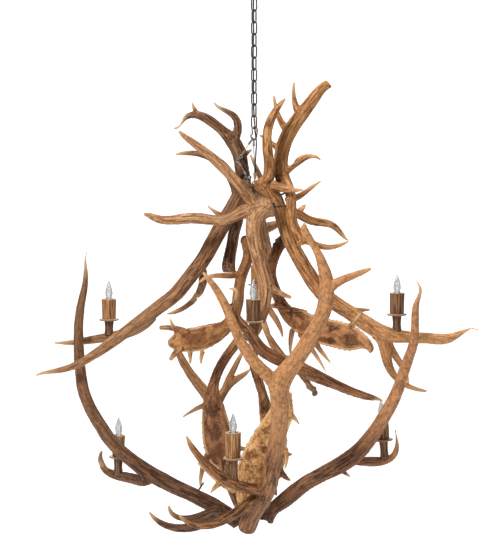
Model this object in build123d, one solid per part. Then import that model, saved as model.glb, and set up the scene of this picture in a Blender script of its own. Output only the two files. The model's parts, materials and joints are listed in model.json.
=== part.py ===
from build123d import *
import os
from math import cos, pi, radians, sin

# Antler chandelier with two tiers of four candle lights, hung on a chain from a ceiling canopy.
# Millimetres. +Z is up and -Y is the front. The origin is on the ceiling, in the middle of the crossbar's
# slots. The antlers, slings and lights are given from the hanging point: the inside of the quick link's
# lower end, where the whole cluster hangs.

# ---------------------------------------------------------------- driving dimensions
CHAIN_LINKS = 12
LINK_WIRE = 4.0             # wire diameter of a chain link
LINK_END_RADIUS = 8.5       # centre line of a link's round end
LINK_LENGTH = 35.7          # between the centre lines of a link's two ends
CHAIN_TURN = 52.0           # the top link stands this far round from the XZ plane
CONTACT_GAP = 0.1           # between two links that hang in each other

QUICK_WIRE = 5.0
QUICK_END_RADIUS = 9.5
QUICK_LENGTH = 35.0         # between the centre lines of its two ends
QUICK_LEAN = 10.0           # the quick link leans to the left as it hangs
QUICK_TURN = 40.0           # and stands this far round from the XZ plane
QUICK_NUT_ACROSS = 8.0
QUICK_NUT_LENGTH = 12.0

CANOPY_RADIUS = 63.5        # a 5 inch canopy
CANOPY_DEPTH = 36.0
CANOPY_WALL = 1.0
CANOPY_HOLE = 13.5          # radius of its middle hole
STEM_RADIUS = 12.5          # threaded stem of the canopy loop
COLLAR_RADIUS = 19.0
COLLAR_HEIGHT = 8.0
LOOP_WIRE = 5.0
LOOP_RADIUS = 14.0          # centre line of the canopy loop's ring
NIPPLE_RADIUS = 4.85        # 1/8 IP threaded nipple
NIPPLE_BORE = 3.4

CROSSBAR_LENGTH = 104.0
CROSSBAR_WIDTH = 19.0
CROSSBAR_THICKNESS = 2.0
SLOT_SPACING = 88.9         # outlet box screws, 3 1/2 inches apart
SLOT_LENGTH = 15.0
SLOT_RADIUS = 2.35          # clears an 8-32 screw

CORD_RADIUS = 2.0
CORD_OFFSET = 13.5          # the cord runs behind the chain
SLING_RADIUS = 1.2
SLING_LOOP = 4.6            # centre line radius of a crimped loop
EYE_WIRE = 3.5
EYE_RADIUS = 7.0
FERRULE_RADIUS = 3.2
FERRULE_LENGTH = 11.0
SCREW_RADIUS = 2.5          # screws that join two antlers
HOLE_CLEARANCE = 0.1

BOBECHE_THICKNESS = 4.0
COVER_BORE = 12.2
SOCKET_RADIUS = 11.5
SOCKET_DROP = 4.0           # the socket ends this far below the rim of its cover
SOCKET_BORE = 6.4
BULB_BASE_RADIUS = 6.0      # E12 screw base
BULB_BASE_LENGTH = 18.0
BULB_RADIUS = 10.5
GLASS_WALL = 0.8
STEM_SINK = 7.0             # how far a light's stem is let into the antler below it
SEAT_CLEARANCE = 0.1

# ---------------------------------------------------------------- heights that follow
LINK_PITCH = LINK_LENGTH - LINK_WIRE - CONTACT_GAP
CANOPY_LOOP_CENTRE = -CANOPY_DEPTH - COLLAR_HEIGHT - 5.0 - LOOP_RADIUS - LOOP_WIRE / 2
FIRST_LINK_TOP = CANOPY_LOOP_CENTRE - LOOP_RADIUS + (LOOP_WIRE + LINK_WIRE) / 2 + CONTACT_GAP
LAST_LINK_BOTTOM = FIRST_LINK_TOP - (CHAIN_LINKS - 1) * LINK_PITCH - LINK_LENGTH
QUICK_HALF = QUICK_LENGTH / 2 - QUICK_END_RADIUS
QUICK_REACH = QUICK_HALF * cos(radians(QUICK_LEAN)) + (
    QUICK_END_RADIUS ** 2 - (QUICK_HALF * sin(radians(QUICK_LEAN))) ** 2) ** 0.5
QUICK_CENTRE = LAST_LINK_BOTTOM + (QUICK_WIRE + LINK_WIRE) / 2 + CONTACT_GAP - QUICK_REACH
HANG_Z = QUICK_CENTRE - QUICK_REACH - QUICK_WIRE / 2
HANG = Vector(0, 0, HANG_Z)

# ---------------------------------------------------------------- antlers, from the hanging point
# Each antler is its beam and then its tines. A point is (x, y, z, radius), or (x, y, z, half width, half
# thickness) where the antler is palmate.
ANTLERS = {
    "upper_left": (
        [(-10, 30, -120, 23.5), (-40, 30, -155, 23), (-70, 25, -205, 22), (-100, 20, -255, 21.5),
         (-130, 15, -310, 21), (-170, 10, -365, 20.5), (-210, 5, -415, 20), (-260, 0, -455, 19.5),
         (-320, -5, -500, 18), (-395, -10, -555, 15), (-470, -15, -605, 11.5), (-540, -10, -630, 7.5),
         (-600, -5, -645, 2.5)],
        [
            [(-280, 10, -480, 15), (-335, 40, -525, 15), (-395, 70, -545, 13.5), (-480, 80, -560, 9.5),
             (-560, 85, -565, 2.5)],
            [(-145, 35, -350, 12), (-145, 60, -405, 11), (-180, 80, -455, 8), (-245, 95, -485, 2.5)],
            [(-45, 30, -150, 16), (-70, 45, -90, 13.5), (-105, 65, -55, 12), (-140, 80, -40, 9.5),
             (-180, 90, -35, 7), (-220, 95, -40, 2.5)],
            [(-70, 50, -210, 10), (-105, 80, -200, 6.5), (-130, 95, -180, 2.5)],
        ],
    ),
    "upper_right": (
        [(20, -5, -105, 25), (40, -15, -135, 23.5), (65, -15, -175, 20), (85, -15, -235, 20),
         (115, -10, -305, 20), (150, -5, -365, 21), (185, 0, -415, 21), (245, 5, -460, 20),
         (305, 10, -500, 21), (360, 15, -530, 21), (415, 20, -540, 17.5), (480, 25, -545, 15),
         (555, 30, -540, 10.5), (625, 35, -525, 2.5)],
        [
            [(35, -25, -110, 17), (40, -30, -50, 14.5), (35, -30, 5, 13), (45, -25, 55, 11.5),
             (65, -20, 90, 8.5), (85, -15, 115, 2.5)],
            [(50, -40, -120, 13.5), (90, -70, -130, 9.5), (130, -105, -130, 3)],
            [(340, 20, -535, 17), (365, 40, -585, 15), (380, 50, -635, 12), (415, 60, -675, 8.5),
             (485, 70, -700, 2.5)],
            [(370, 35, -550, 12), (395, 60, -600, 10), (420, 80, -640, 7), (435, 90, -685, 2.5)],
            [(250, 25, -470, 11), (285, 50, -470, 8), (325, 70, -470, 2.5)],
        ],
    ),
    "upper_front": (
        [(45, -60, -180, 26), (15, -70, -190, 27), (0, -75, -230, 23), (5, -80, -280, 21),
         (20, -80, -340, 21.5), (30, -85, -395, 20.5), (25, -100, -440, 18), (15, -130, -480, 15),
         (0, -170, -510, 12), (-5, -210, -530, 9), (-5, -240, -540, 4)],
        [
            [(-5, -75, -195, 19), (-60, -75, -205, 15.5), (-130, -80, -210, 14.5),
             (-205, -85, -210, 13.5), (-250, -90, -210, 11), (-280, -90, -200, 8),
             (-295, -90, -195, 3.5)],
            [(0, -70, -170, 17), (-40, -70, -120, 14), (-85, -70, -70, 14), (-130, -75, -30, 12),
             (-170, -80, 0, 9.5), (-200, -85, 25, 3.5)],
            [(35, -80, -385, 11), (65, -90, -405, 8), (100, -90, -420, 4.5)],
        ],
    ),
    "upper_back": (
        [(5, 115, -155, 22), (10, 140, -190, 22), (15, 180, -235, 20), (30, 225, -300, 20),
         (35, 270, -365, 19), (30, 305, -425, 17.5), (15, 355, -465, 15), (10, 390, -490, 12.5),
         (25, 415, -535, 10), (45, 425, -590, 7), (65, 430, -640, 2.5)],
        [
            [(25, 195, -255, 13), (65, 225, -240, 11), (110, 250, -220, 8), (150, 265, -185, 2.5)],
            [(25, 320, -440, 12), (40, 315, -485, 10), (70, 320, -535, 8), (85, 320, -580, 2.5)],
            [(5, 135, -185, 12), (25, 160, -135, 10), (10, 180, -85, 7), (-10, 190, -40, 2.5)],
        ],
    ),
    "lower_left": (
        [(-45, 55, -1065, 23), (-85, 50, -1040, 22), (-140, 45, -1005, 21), (-210, 40, -970, 20.5),
         (-285, 40, -930, 21.5), (-340, 35, -890, 19.5), (-385, 35, -850, 18.5),
         (-425, 35, -795, 17.5), (-460, 30, -730, 16.5), (-480, 35, -655, 15.5),
         (-485, 35, -580, 14.5), (-485, 35, -500, 12.5), (-475, 40, -435, 10.5), (-465, 40, -370, 6.5),
         (-460, 40, -305, 2)],
        [
            [(-285, 50, -940, 16), (-340, 75, -950, 15), (-385, 95, -945, 13), (-420, 100, -930, 10),
             (-435, 105, -900, 7), (-430, 105, -875, 2)],
            [(-90, 55, -1055, 15), (-140, 65, -1075, 13.5), (-200, 70, -1090, 12),
             (-255, 75, -1080, 9), (-295, 75, -1045, 2.5)],
            [(-95, 25, -1025, 12), (-135, 5, -1035, 11), (-185, -5, -1045, 9.5), (-220, -10, -1035, 7),
             (-235, -15, -1005, 2.5)],
        ],
    ),
    "lower_right": (
        [(35, 35, -1050, 25), (80, 30, -1005, 21), (140, 25, -955, 20.5), (200, 20, -920, 21.5),
         (255, 20, -890, 23.5), (295, 15, -855, 22), (330, 10, -810, 19.5), (365, 0, -750, 18.5),
         (395, -10, -685, 16.5), (415, -15, -620, 15), (435, -20, -560, 13), (440, -25, -495, 11),
         (445, -30, -435, 7.5), (440, -30, -380, 2)],
        [
            [(275, 30, -885, 15), (315, 45, -895, 13.5), (360, 55, -895, 12), (385, 55, -885, 9.5),
             (400, 55, -855, 6.5), (395, 55, -805, 2)],
            [(235, 25, -905, 9), (255, 30, -925, 5.5), (270, 30, -935, 2)],
            [(35, 5, -1050, 14), (35, -25, -1065, 12), (50, -50, -1080, 12), (80, -65, -1065, 10.5),
             (100, -70, -1030, 7.5), (100, -70, -980, 2)],
            [(60, 55, -1045, 13), (105, 70, -1055, 11.5), (155, 75, -1050, 8.5), (185, 80, -1030, 2.5)],
            [(95, 70, -1045, 8), (115, 85, -1040, 6), (140, 95, -1025, 2)],
        ],
    ),
    "lower_front": (
        [(-20, -5, -1070, 25), (-5, -40, -1025, 25), (20, -85, -975, 24), (40, -145, -915, 23.5),
         (50, -210, -840, 22.5), (60, -265, -775, 22), (65, -310, -715, 22), (65, -345, -655, 24),
         (65, -365, -610, 27), (100, -380, -555, 22), (135, -390, -500, 20), (165, -390, -445, 19),
         (180, -390, -395, 19.5), (180, -385, -350, 18), (170, -375, -305, 13), (145, -365, -255, 9.5),
         (125, -355, -205, 2.5)],
        [
            [(55, -360, -625, 20), (20, -375, -575, 16), (-15, -375, -535, 14.5),
             (-45, -370, -480, 13), (-75, -365, -410, 11.5), (-105, -355, -360, 9),
             (-130, -350, -330, 3)],
            [(190, -390, -365, 14), (220, -395, -345, 10.5), (255, -400, -330, 8.5),
             (290, -405, -315, 3.5)],
            [(10, -100, -955, 16), (-40, -145, -990, 14), (-85, -170, -1010, 13),
             (-135, -185, -1020, 11), (-175, -190, -1010, 8), (-200, -195, -990, 2.5)],
            [(15, -125, -935, 17), (-40, -155, -920, 14.5), (-90, -170, -890, 13),
             (-135, -175, -850, 11), (-165, -180, -810, 8), (-180, -180, -780, 2.5)],
        ],
    ),
    "lower_back": (
        [(-5, 95, -1060, 24), (-25, 150, -1050, 23.5), (-50, 210, -1020, 23), (-75, 270, -975, 22),
         (-95, 325, -925, 21), (-105, 370, -865, 20), (-115, 400, -815, 20), (-135, 415, -775, 18),
         (-170, 420, -730, 15.5), (-205, 420, -680, 13), (-230, 420, -630, 10), (-235, 410, -580, 3)],
        [
            [(-120, 410, -800, 16), (-95, 420, -765, 13.5), (-65, 430, -730, 11), (-35, 430, -710, 8),
             (-10, 435, -690, 2.5)],
            [(-85, 425, -745, 11), (-65, 430, -700, 9.5), (-45, 430, -660, 7), (-30, 430, -625, 2.5)],
            [(-125, 415, -790, 10), (-155, 415, -800, 8), (-185, 415, -815, 5.5), (-215, 415, -835, 2)],
            [(-30, 165, -1035, 15), (0, 195, -1010, 13), (30, 220, -975, 12), (55, 240, -945, 11),
             (70, 250, -930, 8.5), (80, 260, -905, 2.5)],
        ],
    ),
    "crown_left": (
        [(-65, 70, -365, 19), (-65, 70, -310, 16.5), (-50, 70, -235, 16.5), (-35, 75, -175, 16),
         (-30, 75, -120, 16.5), (-35, 60, -70, 19), (-45, 55, -25, 20), (-65, 55, 5, 19),
         (-85, 50, 25, 14.5), (-115, 50, 50, 13.5), (-140, 45, 65, 12.5), (-165, 45, 70, 9.5),
         (-190, 40, 60, 6.5), (-225, 35, 35, 2)],
        [
            [(-50, 55, -15, 14), (-45, 50, 30, 11.5), (-50, 50, 60, 10), (-75, 45, 80, 7.5),
             (-95, 45, 90, 5), (-110, 40, 105, 2)],
            [(-155, 45, 70, 8), (-165, 45, 90, 5), (-170, 45, 105, 2)],
            [(-30, 60, -55, 7), (-15, 55, -30, 5), (-5, 55, -25, 3)],
            [(-70, 90, -345, 10), (-115, 105, -340, 8), (-165, 115, -345, 6), (-205, 115, -360, 2.5)],
        ],
    ),
    "crown_right": (
        [(130, -60, -280, 17), (115, -60, -245, 14.5), (100, -55, -200, 14.5), (100, -45, -160, 14),
         (90, -5, -120, 15), (75, 30, -70, 18.5), (80, 45, -20, 20), (105, 45, 35, 20),
         (145, 45, 90, 18), (175, 45, 130, 15), (205, 40, 155, 12)],
        [
            [(120, 45, 80, 10), (110, 45, 115, 7), (110, 40, 160, 2.5)],
            [(95, 50, 25, 11), (70, 45, 60, 8), (60, 45, 90, 6), (55, 40, 125, 2.5)],
            [(75, 50, -30, 9), (45, 50, -5, 6), (15, 50, 15, 3)],
            [(80, 30, -85, 12), (120, 55, -60, 9.5), (150, 80, -45, 7.5), (170, 80, -45, 5),
             (185, 80, -55, 2)],
            [(90, -30, -160, 11), (125, -5, -150, 8.5), (155, 20, -130, 6), (185, 30, -110, 2)],
            [(105, -50, -195, 13), (150, -20, -215, 11.5), (195, 5, -225, 10.5), (220, 20, -235, 9),
             (240, 30, -255, 6.5), (260, 35, -275, 2)],
            [(125, -55, -270, 10), (165, -35, -280, 8.5), (200, -15, -290, 7.5), (235, 0, -285, 5.5),
             (260, 10, -275, 2)],
        ],
    ),
    "middle_left": (
        [(-20, -25, -265, 14), (-15, -30, -305, 15), (-30, -30, -355, 15), (-40, -30, -395, 15),
         (-45, -30, -440, 16), (-55, -30, -475, 17), (-75, -25, -505, 20, 12),
         (-110, -25, -525, 30, 10), (-150, -20, -540, 36, 8), (-185, -20, -545, 34, 7),
         (-215, -20, -550, 24, 6), (-235, -15, -555, 10, 5)],
        [
            [(-30, -30, -355, 10), (-60, -40, -365, 8.5), (-100, -45, -365, 7), (-130, -50, -370, 5),
             (-150, -50, -385, 2)],
            [(-195, -20, -535, 9), (-220, -15, -510, 6), (-230, -10, -485, 2)],
            [(-195, -20, -565, 9), (-215, -15, -580, 8), (-230, -15, -600, 5)],
            [(-175, -20, -575, 7), (-175, -15, -595, 5), (-175, -15, -610, 3)],
            [(-140, -20, -575, 7), (-145, -20, -595, 5), (-145, -15, -610, 3)],
            [(-180, -15, -525, 9), (-220, 5, -515, 8), (-260, 20, -515, 6)],
            [(-165, -10, -510, 9), (-140, 5, -485, 6.5), (-115, 15, -460, 2)],
        ],
    ),
    "middle_right": (
        [(95, 45, -270, 14), (65, 35, -300, 14), (50, 30, -340, 14), (50, 20, -385, 14.5),
         (65, 5, -425, 15), (80, -5, -455, 17, 13), (105, -20, -480, 26, 10), (140, -30, -500, 34, 8),
         (180, -40, -515, 38, 7), (225, -50, -525, 40, 7), (260, -55, -535, 38, 6),
         (290, -60, -545, 26, 6), (320, -65, -570, 8, 5)],
        [
            [(80, -10, -450, 9), (55, -15, -450, 7), (40, -20, -450, 3)],
            [(90, -15, -460, 8), (115, -25, -460, 6), (145, -30, -465, 3)],
            [(260, -55, -505, 8), (275, -55, -485, 6), (290, -50, -465, 3)],
            [(105, -25, -515, 8), (100, -20, -550, 6), (100, -20, -585, 2.5)],
            [(160, -40, -540, 8), (185, -40, -575, 6), (210, -40, -605, 2)],
            [(125, -30, -525, 8), (160, -45, -570, 6.5), (195, -60, -625, 2)],
        ],
    ),
    "basket_left": (
        [(-30, 80, -540, 13), (-60, 75, -580, 13.5), (-85, 70, -615, 13.5), (-105, 65, -655, 14),
         (-115, 60, -695, 18, 13), (-115, 60, -730, 29, 11), (-110, 55, -775, 38, 9),
         (-100, 50, -820, 48, 8), (-90, 45, -855, 52, 7), (-85, 45, -885, 46, 6), (-80, 40, -905, 30, 5)],
        [
            [(-130, 45, -875, 9), (-145, 40, -920, 7), (-150, 40, -970, 2)],
            [(-45, 45, -855, 8), (-20, 40, -855, 5), (-5, 40, -840, 2)],
            [(-85, 40, -885, 8), (-90, 40, -925, 6), (-85, 35, -950, 2.5)],
        ],
    ),
    "basket_front": (
        [(-20, 5, -1015, 15), (-30, -5, -985, 20, 12), (-20, -10, -950, 36, 10),
         (-5, -15, -910, 46, 9), (20, -15, -860, 50, 8), (45, -10, -810, 46, 7),
         (70, -10, -760, 38, 6.5), (85, -10, -720, 26, 6), (95, -5, -690, 12, 5)],
        [
            [(95, -10, -745, 8), (110, -10, -760, 6), (125, -10, -780, 2)],
            [(85, -10, -845, 8), (90, -10, -875, 6), (85, -10, -905, 2)],
            [(-45, -10, -955, 22, 8), (-90, -20, -930, 18, 6), (-125, -20, -905, 12, 5),
             (-155, -25, -885, 3, 3)],
            [(-90, -20, -940, 9), (-110, -25, -955, 6), (-120, -25, -970, 2)],
        ],
    ),
    "basket_back": (
        [(25, 100, -1015, 15), (30, 110, -985, 20, 12), (45, 120, -945, 34, 10),
         (50, 125, -900, 42, 8), (55, 130, -855, 42, 7), (50, 130, -810, 34, 6),
         (35, 130, -765, 22, 8), (25, 130, -720, 14, 12), (10, 120, -670, 13), (0, 110, -620, 13),
         (-5, 105, -570, 12)],
        [
            [(80, 125, -890, 9), (95, 125, -890, 7), (110, 125, -890, 2)],
            [(75, 120, -935, 9), (90, 120, -955, 7), (105, 120, -965, 2)],
            [(55, 115, -980, 9), (60, 110, -995, 7), (65, 105, -1005, 2)],
        ],
    ),
    "cross": (
        [(-65, -350, -370, 2.5), (-50, -345, -415, 8), (-25, -340, -470, 12), (0, -330, -505, 14.5),
         (25, -320, -535, 16), (60, -315, -555, 17), (95, -305, -570, 17.5), (135, -300, -590, 18),
         (185, -285, -615, 15), (250, -270, -645, 11), (310, -260, -665, 7), (335, -255, -675, 2.5)],
        [
            [(115, -300, -585, 9), (130, -290, -610, 7), (145, -285, -630, 5), (160, -280, -650, 2)],
            [(80, -300, -560, 10), (55, -280, -530, 9), (35, -260, -500, 7), (20, -240, -470, 3)],
        ],
    ),
}

# Antlers that run front to back lie against the side of their section instead of its front.
RUN_FRONT_TO_BACK = ("upper_back", "lower_front", "lower_back")

# The lights, by name: middle of the bobeche, radius and height of the candle cover, radius of the bobeche,
# radius and height of the stem, lean about Y in degrees, and the antler that carries it.
LIGHTS = {
    "upper_left": ((-404, 69, -498), 20.0, 56, 27.0, 12.5, 34, 0, "upper_left"),
    "upper_right": ((394, 19, -478), 20.0, 58, 27.0, 12.5, 40, 0, "upper_right"),
    "upper_front": ((-2, -176, -475), 19.5, 57, 27.0, 12.0, 23, 0, "upper_front"),
    "upper_back": ((10, 371, -428), 19.0, 56, 27.0, 12.5, 32, 0, "upper_back"),
    "lower_left": ((-383, 95, -891), 18.0, 60, 26.5, 13.0, 44, 1, "lower_left"),
    "lower_right": ((362, 53, -834), 17.5, 60, 26.0, 12.0, 47, -4, "lower_right"),
    "lower_front": ((-56, -156, -845), 21.0, 68, 27.0, 13.0, 50, 0, "lower_front"),
    "lower_back": ((54, 238, -891), 19.0, 60, 27.0, 12.5, 42, 0, "lower_back"),
}

# Screws that hold two antlers together: both ends, and the two antlers.
JOINING_SCREWS = [
    ((-22, 44, -127), (30, -19, -113), "upper_left", "upper_right"),
    ((69, -6, -159), (36, -72, -184), "upper_right", "upper_front"),
    ((46, -14, -159), (95, -26, -137), "upper_right", "crown_right"),
    ((-30, 24, -146), (-34, 82, -138), "upper_left", "crown_left"),
    ((-36, 66, -151), (14, 128, -163), "crown_left", "upper_back"),
    ((34, -66, -180), (99, -48, -174), "upper_front", "crown_right"),
    ((8, -86, -286), (-20, -22, -297), "upper_front", "middle_left"),
    ((103, -22, -268), (87, 50, -274), "upper_right", "middle_right"),
    ((-54, 62, -1059), (-12, -14, -1065), "lower_left", "lower_front"),
    ((-56, 44, -1055), (6, 104, -1065), "lower_left", "lower_back"),
    ((42, 40, -1048), (-26, -26, -1053), "lower_right", "lower_front"),
    ((46, 28, -1044), (-14, 102, -1069), "lower_right", "lower_back"),
    ((-10, -30, -1050), (-20, 12, -1008), "lower_front", "basket_front"),
    ((-12, 94, -1069), (26, 100, -1010), "lower_back", "basket_back"),
    ((-169, 46, -998), (-141, 38, -953), "lower_left", "basket_left"),
    ((-36, 74, -542), (0, 109, -575), "basket_left", "basket_back"),
    ((432, 32, -542), (436, -30, -554), "upper_right", "lower_right"),
    ((-481, -20, -607), (-485, 42, -608), "upper_left", "lower_left"),
    ((-77, -370, -419), (-52, -342, -409), "lower_front", "cross"),
]

# Slings: how far round the quick link's lower end the upper loop sits, the point where the eye screw
# enters its antler, the way the eye screw stands out of it, and the antler.
SLINGS = [
    (-24, (-38, 38, -50), (-0.2, -1.0, 0.1), "crown_left"),
    (8, (-4, 30, -125), (0.65, 0.0, 0.76), "upper_left"),
]
# A short cable from the first eye screw to one more, in this antler.
TIE = ((-17, 24, -114), (0.2, -0.5, 0.84), "upper_left")


# ---------------------------------------------------------------- shared shapes
def hung(point):
    """A point that is given from the hanging point."""
    return HANG + Vector(*point)


def rod(start, end, radius):
    """A round rod between two points."""
    start, end = Vector(*start), Vector(*end)
    return Solid.make_cylinder(radius, (end - start).length, Plane(start, z_dir=end - start))


def oval_ring(end_radius, length, wire):
    """A link: two straight sides and two round ends, standing in the XZ plane about the origin."""
    half = length / 2 - end_radius
    profile = Plane(origin=(end_radius, 0, half), z_dir=(0, 0, 1)) * Circle(wire / 2)
    upper = revolve(profile, Axis((0, 0, half), (0, 1, 0)), -180)
    link = upper + mirror(upper, Plane.XY)
    for side in (-1, 1):
        link += rod((side * end_radius, 0, -half), (side * end_radius, 0, half), wire / 2)
    return link


def ring(centre, axis, radius, wire):
    """A round wire ring about an axis."""
    return Solid.make_torus(radius, wire / 2, Plane(Vector(*centre), z_dir=Vector(*axis)))


def turned(points):
    """A body of revolution about Z from (radius, height) points."""
    return revolve(Plane.XZ * Face(Wire.make_polygon([(r, z) for r, z in points])), Axis.Z)


def save(name, *solids):
    """Write one node."""
    export_step(Compound(children=list(solids)) if len(solids) > 1 else solids[0], f"parts/{name}.step")


def solids_of(shape):
    """All the solids of a shape."""
    return list(shape.solids())


# ---------------------------------------------------------------- antlers
def branch_frames(points, flat_side):
    """A plane across the branch at each point, with its X along the wide way of a palmate section."""
    places = [hung(p[:3]) for p in points]
    frames = []
    for index, place in enumerate(places):
        before, after = places[max(index - 1, 0)], places[min(index + 1, len(places) - 1)]
        along = (after - before).normalized()
        wide = flat_side.cross(along)
        if wide.length < 0.2:
            wide = Vector(0, 0, 1).cross(along)
        frames.append(Plane(place, x_dir=wide.normalized(), z_dir=along))
    return frames


def antler_section(frame, half_width, half_thickness):
    """A round section, or a lens-shaped one across a palm."""
    left, right = frame.from_local_coords((-half_width, 0)), frame.from_local_coords((half_width, 0))
    over, under = (frame.from_local_coords((0, side * half_thickness)) for side in (1, -1))
    return Wire([Edge.make_three_point_arc(left, over, right), Edge.make_three_point_arc(right, under, left)])


def branch(points, flat_side):
    """A beam or a tine: a loft through its sections."""
    sections = [
        antler_section(frame, point[3], point[-1])
        for frame, point in zip(branch_frames(points, flat_side), points)
    ]
    return Solid.make_loft(sections)


def antler(name):
    """One shed antler, its beam and tines grown together, with the holes for its joining screws."""
    flat_side = Vector(1, 0, 0) if name in RUN_FRONT_TO_BACK else Vector(0, -1, 0)
    beam, tines = ANTLERS[name]
    body = branch(beam, flat_side).fuse(*[branch(tine, flat_side) for tine in tines])
    holes = [
        rod(hung(start), hung(end), SCREW_RADIUS + HOLE_CLEARANCE)
        for start, end, first, second in JOINING_SCREWS
        if name in (first, second)
    ]
    holes += [
        eye_screw_shank(place, outward, EYE_WIRE / 2 + 0.3 + HOLE_CLEARANCE)
        for place, outward, holder in [row[1:] for row in SLINGS] + [TIE]
        if holder == name
    ]
    if name == CORD_ANTLER:
        holes.append(rod(hung(CORD_ENTRY) + Vector(0, 0, 12), hung(CORD_ENTRY), 6.2))
        holes.append(rod(hung(CORD_ENTRY) + Vector(0, 0, 4), hung(CORD_ENTRY) - Vector(0, 0, GLAND_DEPTH + 6), 4.0))
    holes += [stem_seat(light) for light in LIGHTS.values() if light[-1] == name]
    if holes:
        body = body.cut(*holes)
    return max(solids_of(body), key=lambda solid: solid.volume)


# ---------------------------------------------------------------- hanging hardware
def crossbar():
    """Steel strap with two slots for the outlet box screws and a middle hole for the nipple."""
    bar = Pos(0, 0, -CROSSBAR_THICKNESS / 2) * Box(CROSSBAR_LENGTH, CROSSBAR_WIDTH, CROSSBAR_THICKNESS)
    for side in (-1, 1):
        slot = extrude(SlotOverall(SLOT_LENGTH, 2 * SLOT_RADIUS), 2 * CROSSBAR_THICKNESS, both=True)
        bar -= Pos(side * SLOT_SPACING / 2, 0, 0) * slot
        bar -= Pos(side * 22.0, 0, 0) * Cylinder(2.1, 3 * CROSSBAR_THICKNESS)
    return bar - Cylinder(NIPPLE_RADIUS + HOLE_CLEARANCE, 3 * CROSSBAR_THICKNESS)


def lock_nuts():
    """A thin hexagon nut above and one below the crossbar."""
    nut = extrude(RegularPolygon(8.0, 6), 3.0) - Cylinder(NIPPLE_RADIUS + HOLE_CLEARANCE, 8.0)
    gap = HOLE_CLEARANCE
    return [Pos(0, 0, gap) * nut, Pos(0, 0, -CROSSBAR_THICKNESS - 3.0 - gap) * nut]


def canopy():
    """Spun dome with a rolled rim and a middle hole."""
    outer, depth, wall = CANOPY_RADIUS, CANOPY_DEPTH, CANOPY_WALL
    with BuildPart() as dome:
        with BuildSketch(Plane.XZ):
            with BuildLine():
                Line((outer, 0), (outer, -5))
                ThreePointArc((outer, -5), (outer - 15, -23), (34, -depth + 4))
                ThreePointArc((34, -depth + 4), (28, -depth + 0.8), (22, -depth))
                Line((22, -depth), (CANOPY_HOLE, -depth))
                Line((CANOPY_HOLE, -depth), (CANOPY_HOLE, -depth + wall))
                Line((CANOPY_HOLE, -depth + wall), (22, -depth + wall))
                ThreePointArc((22, -depth + wall), (28, -depth + wall + 0.8), (33.5, -depth + wall + 4))
                ThreePointArc((33.5, -depth + wall + 4), (outer - 15.7, -22.2), (outer - wall, -5))
                Line((outer - wall, -5), (outer - wall, 0))
                Line((outer - wall, 0), (outer, 0))
            make_face()
        revolve(axis=Axis.Z)
    return dome.part


def canopy_loop():
    """Threaded stem that takes the nipple, with the ring that the chain hangs from."""
    top, bottom = -CANOPY_DEPTH + 14.0, -CANOPY_DEPTH - COLLAR_HEIGHT - 4.0
    stem = turned([(0, top), (STEM_RADIUS, top), (STEM_RADIUS, bottom), (8.0, bottom - 4.0), (0, bottom - 4.0)])
    across = (sin(radians(CHAIN_TURN - 90)), -cos(radians(CHAIN_TURN - 90)), 0)
    loop = stem + ring((0, 0, CANOPY_LOOP_CENTRE), across, LOOP_RADIUS, LOOP_WIRE)
    loop -= rod((0, 0, top + 1), (0, 0, top - 12.0), NIPPLE_RADIUS + HOLE_CLEARANCE)
    return loop - rod((0, 0, top), (0, 0, bottom - 10.0), NIPPLE_BORE)


def collar_ring():
    """Knurled ring that screws on the stem and holds the canopy up."""
    high, low = -CANOPY_DEPTH - HOLE_CLEARANCE, -CANOPY_DEPTH - COLLAR_HEIGHT
    outline = [(STEM_RADIUS + HOLE_CLEARANCE, high), (COLLAR_RADIUS, high), (COLLAR_RADIUS, high - 4.0),
               (COLLAR_RADIUS - 3.0, low), (STEM_RADIUS + HOLE_CLEARANCE, low)]
    return turned(outline)


def loop_nipple():
    """Hollow threaded nipple from the outlet box to the canopy loop."""
    low = -CANOPY_DEPTH + 14.0 - 11.0
    return rod((0, 0, 8.0), (0, 0, low), NIPPLE_RADIUS) - rod((0, 0, 9.0), (0, 0, low - 1), NIPPLE_BORE)


def ground_screw():
    """Green ground screw in the crossbar."""
    shank = rod((22, 0, 3.0), (22, 0, -CROSSBAR_THICKNESS - 1.0), 2.0)
    return shank + rod((22, 0, -CROSSBAR_THICKNESS - 0.1), (22, 0, -CROSSBAR_THICKNESS - 2.8), 4.0)


def chain_link(index):
    """A link of the chain, counted from the top. Every other link is turned a quarter turn."""
    centre = FIRST_LINK_TOP - index * LINK_PITCH - LINK_LENGTH / 2
    turn = CHAIN_TURN - 90 * (index % 2)
    return Pos(0, 0, centre) * Rot(0, 0, turn) * oval_ring(LINK_END_RADIUS, LINK_LENGTH, LINK_WIRE)


def quick_link_place(shape):
    """Put a shape made about the middle of the quick link in its place."""
    return Pos(0, 0, QUICK_CENTRE) * Rot(0, 0, QUICK_TURN) * Rot(0, QUICK_LEAN, 0) * shape


def quick_link():
    """Oval steel quick link."""
    return quick_link_place(oval_ring(QUICK_END_RADIUS, QUICK_LENGTH, QUICK_WIRE))


def quick_link_nut():
    """Long hexagon nut that closes the quick link's side."""
    nut = extrude(RegularPolygon(QUICK_NUT_ACROSS / 2, 6, major_radius=False), QUICK_NUT_LENGTH)
    nut -= Cylinder(QUICK_WIRE / 2 + HOLE_CLEARANCE, 3 * QUICK_NUT_LENGTH)
    return quick_link_place(Pos(-QUICK_END_RADIUS, 0, -QUICK_NUT_LENGTH / 2) * nut)


def eye_screw_shank(place, outward, radius):
    """The room that an eye screw takes in its antler."""
    outward = Vector(*outward).normalized()
    return rod(hung(place) + outward * 3.0, hung(place) - outward * 18.0, radius)


def quick_wire(angle):
    """A point on the wire of the quick link's lower end, and the way the wire runs there."""
    turn = radians(angle)
    local = Vector(QUICK_END_RADIUS * sin(turn), 0, -QUICK_HALF - QUICK_END_RADIUS * cos(turn))
    wire = Plane(quick_link_place(Plane(local, z_dir=(cos(turn), 0, sin(turn))).location))
    return wire.origin, wire.z_dir


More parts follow.
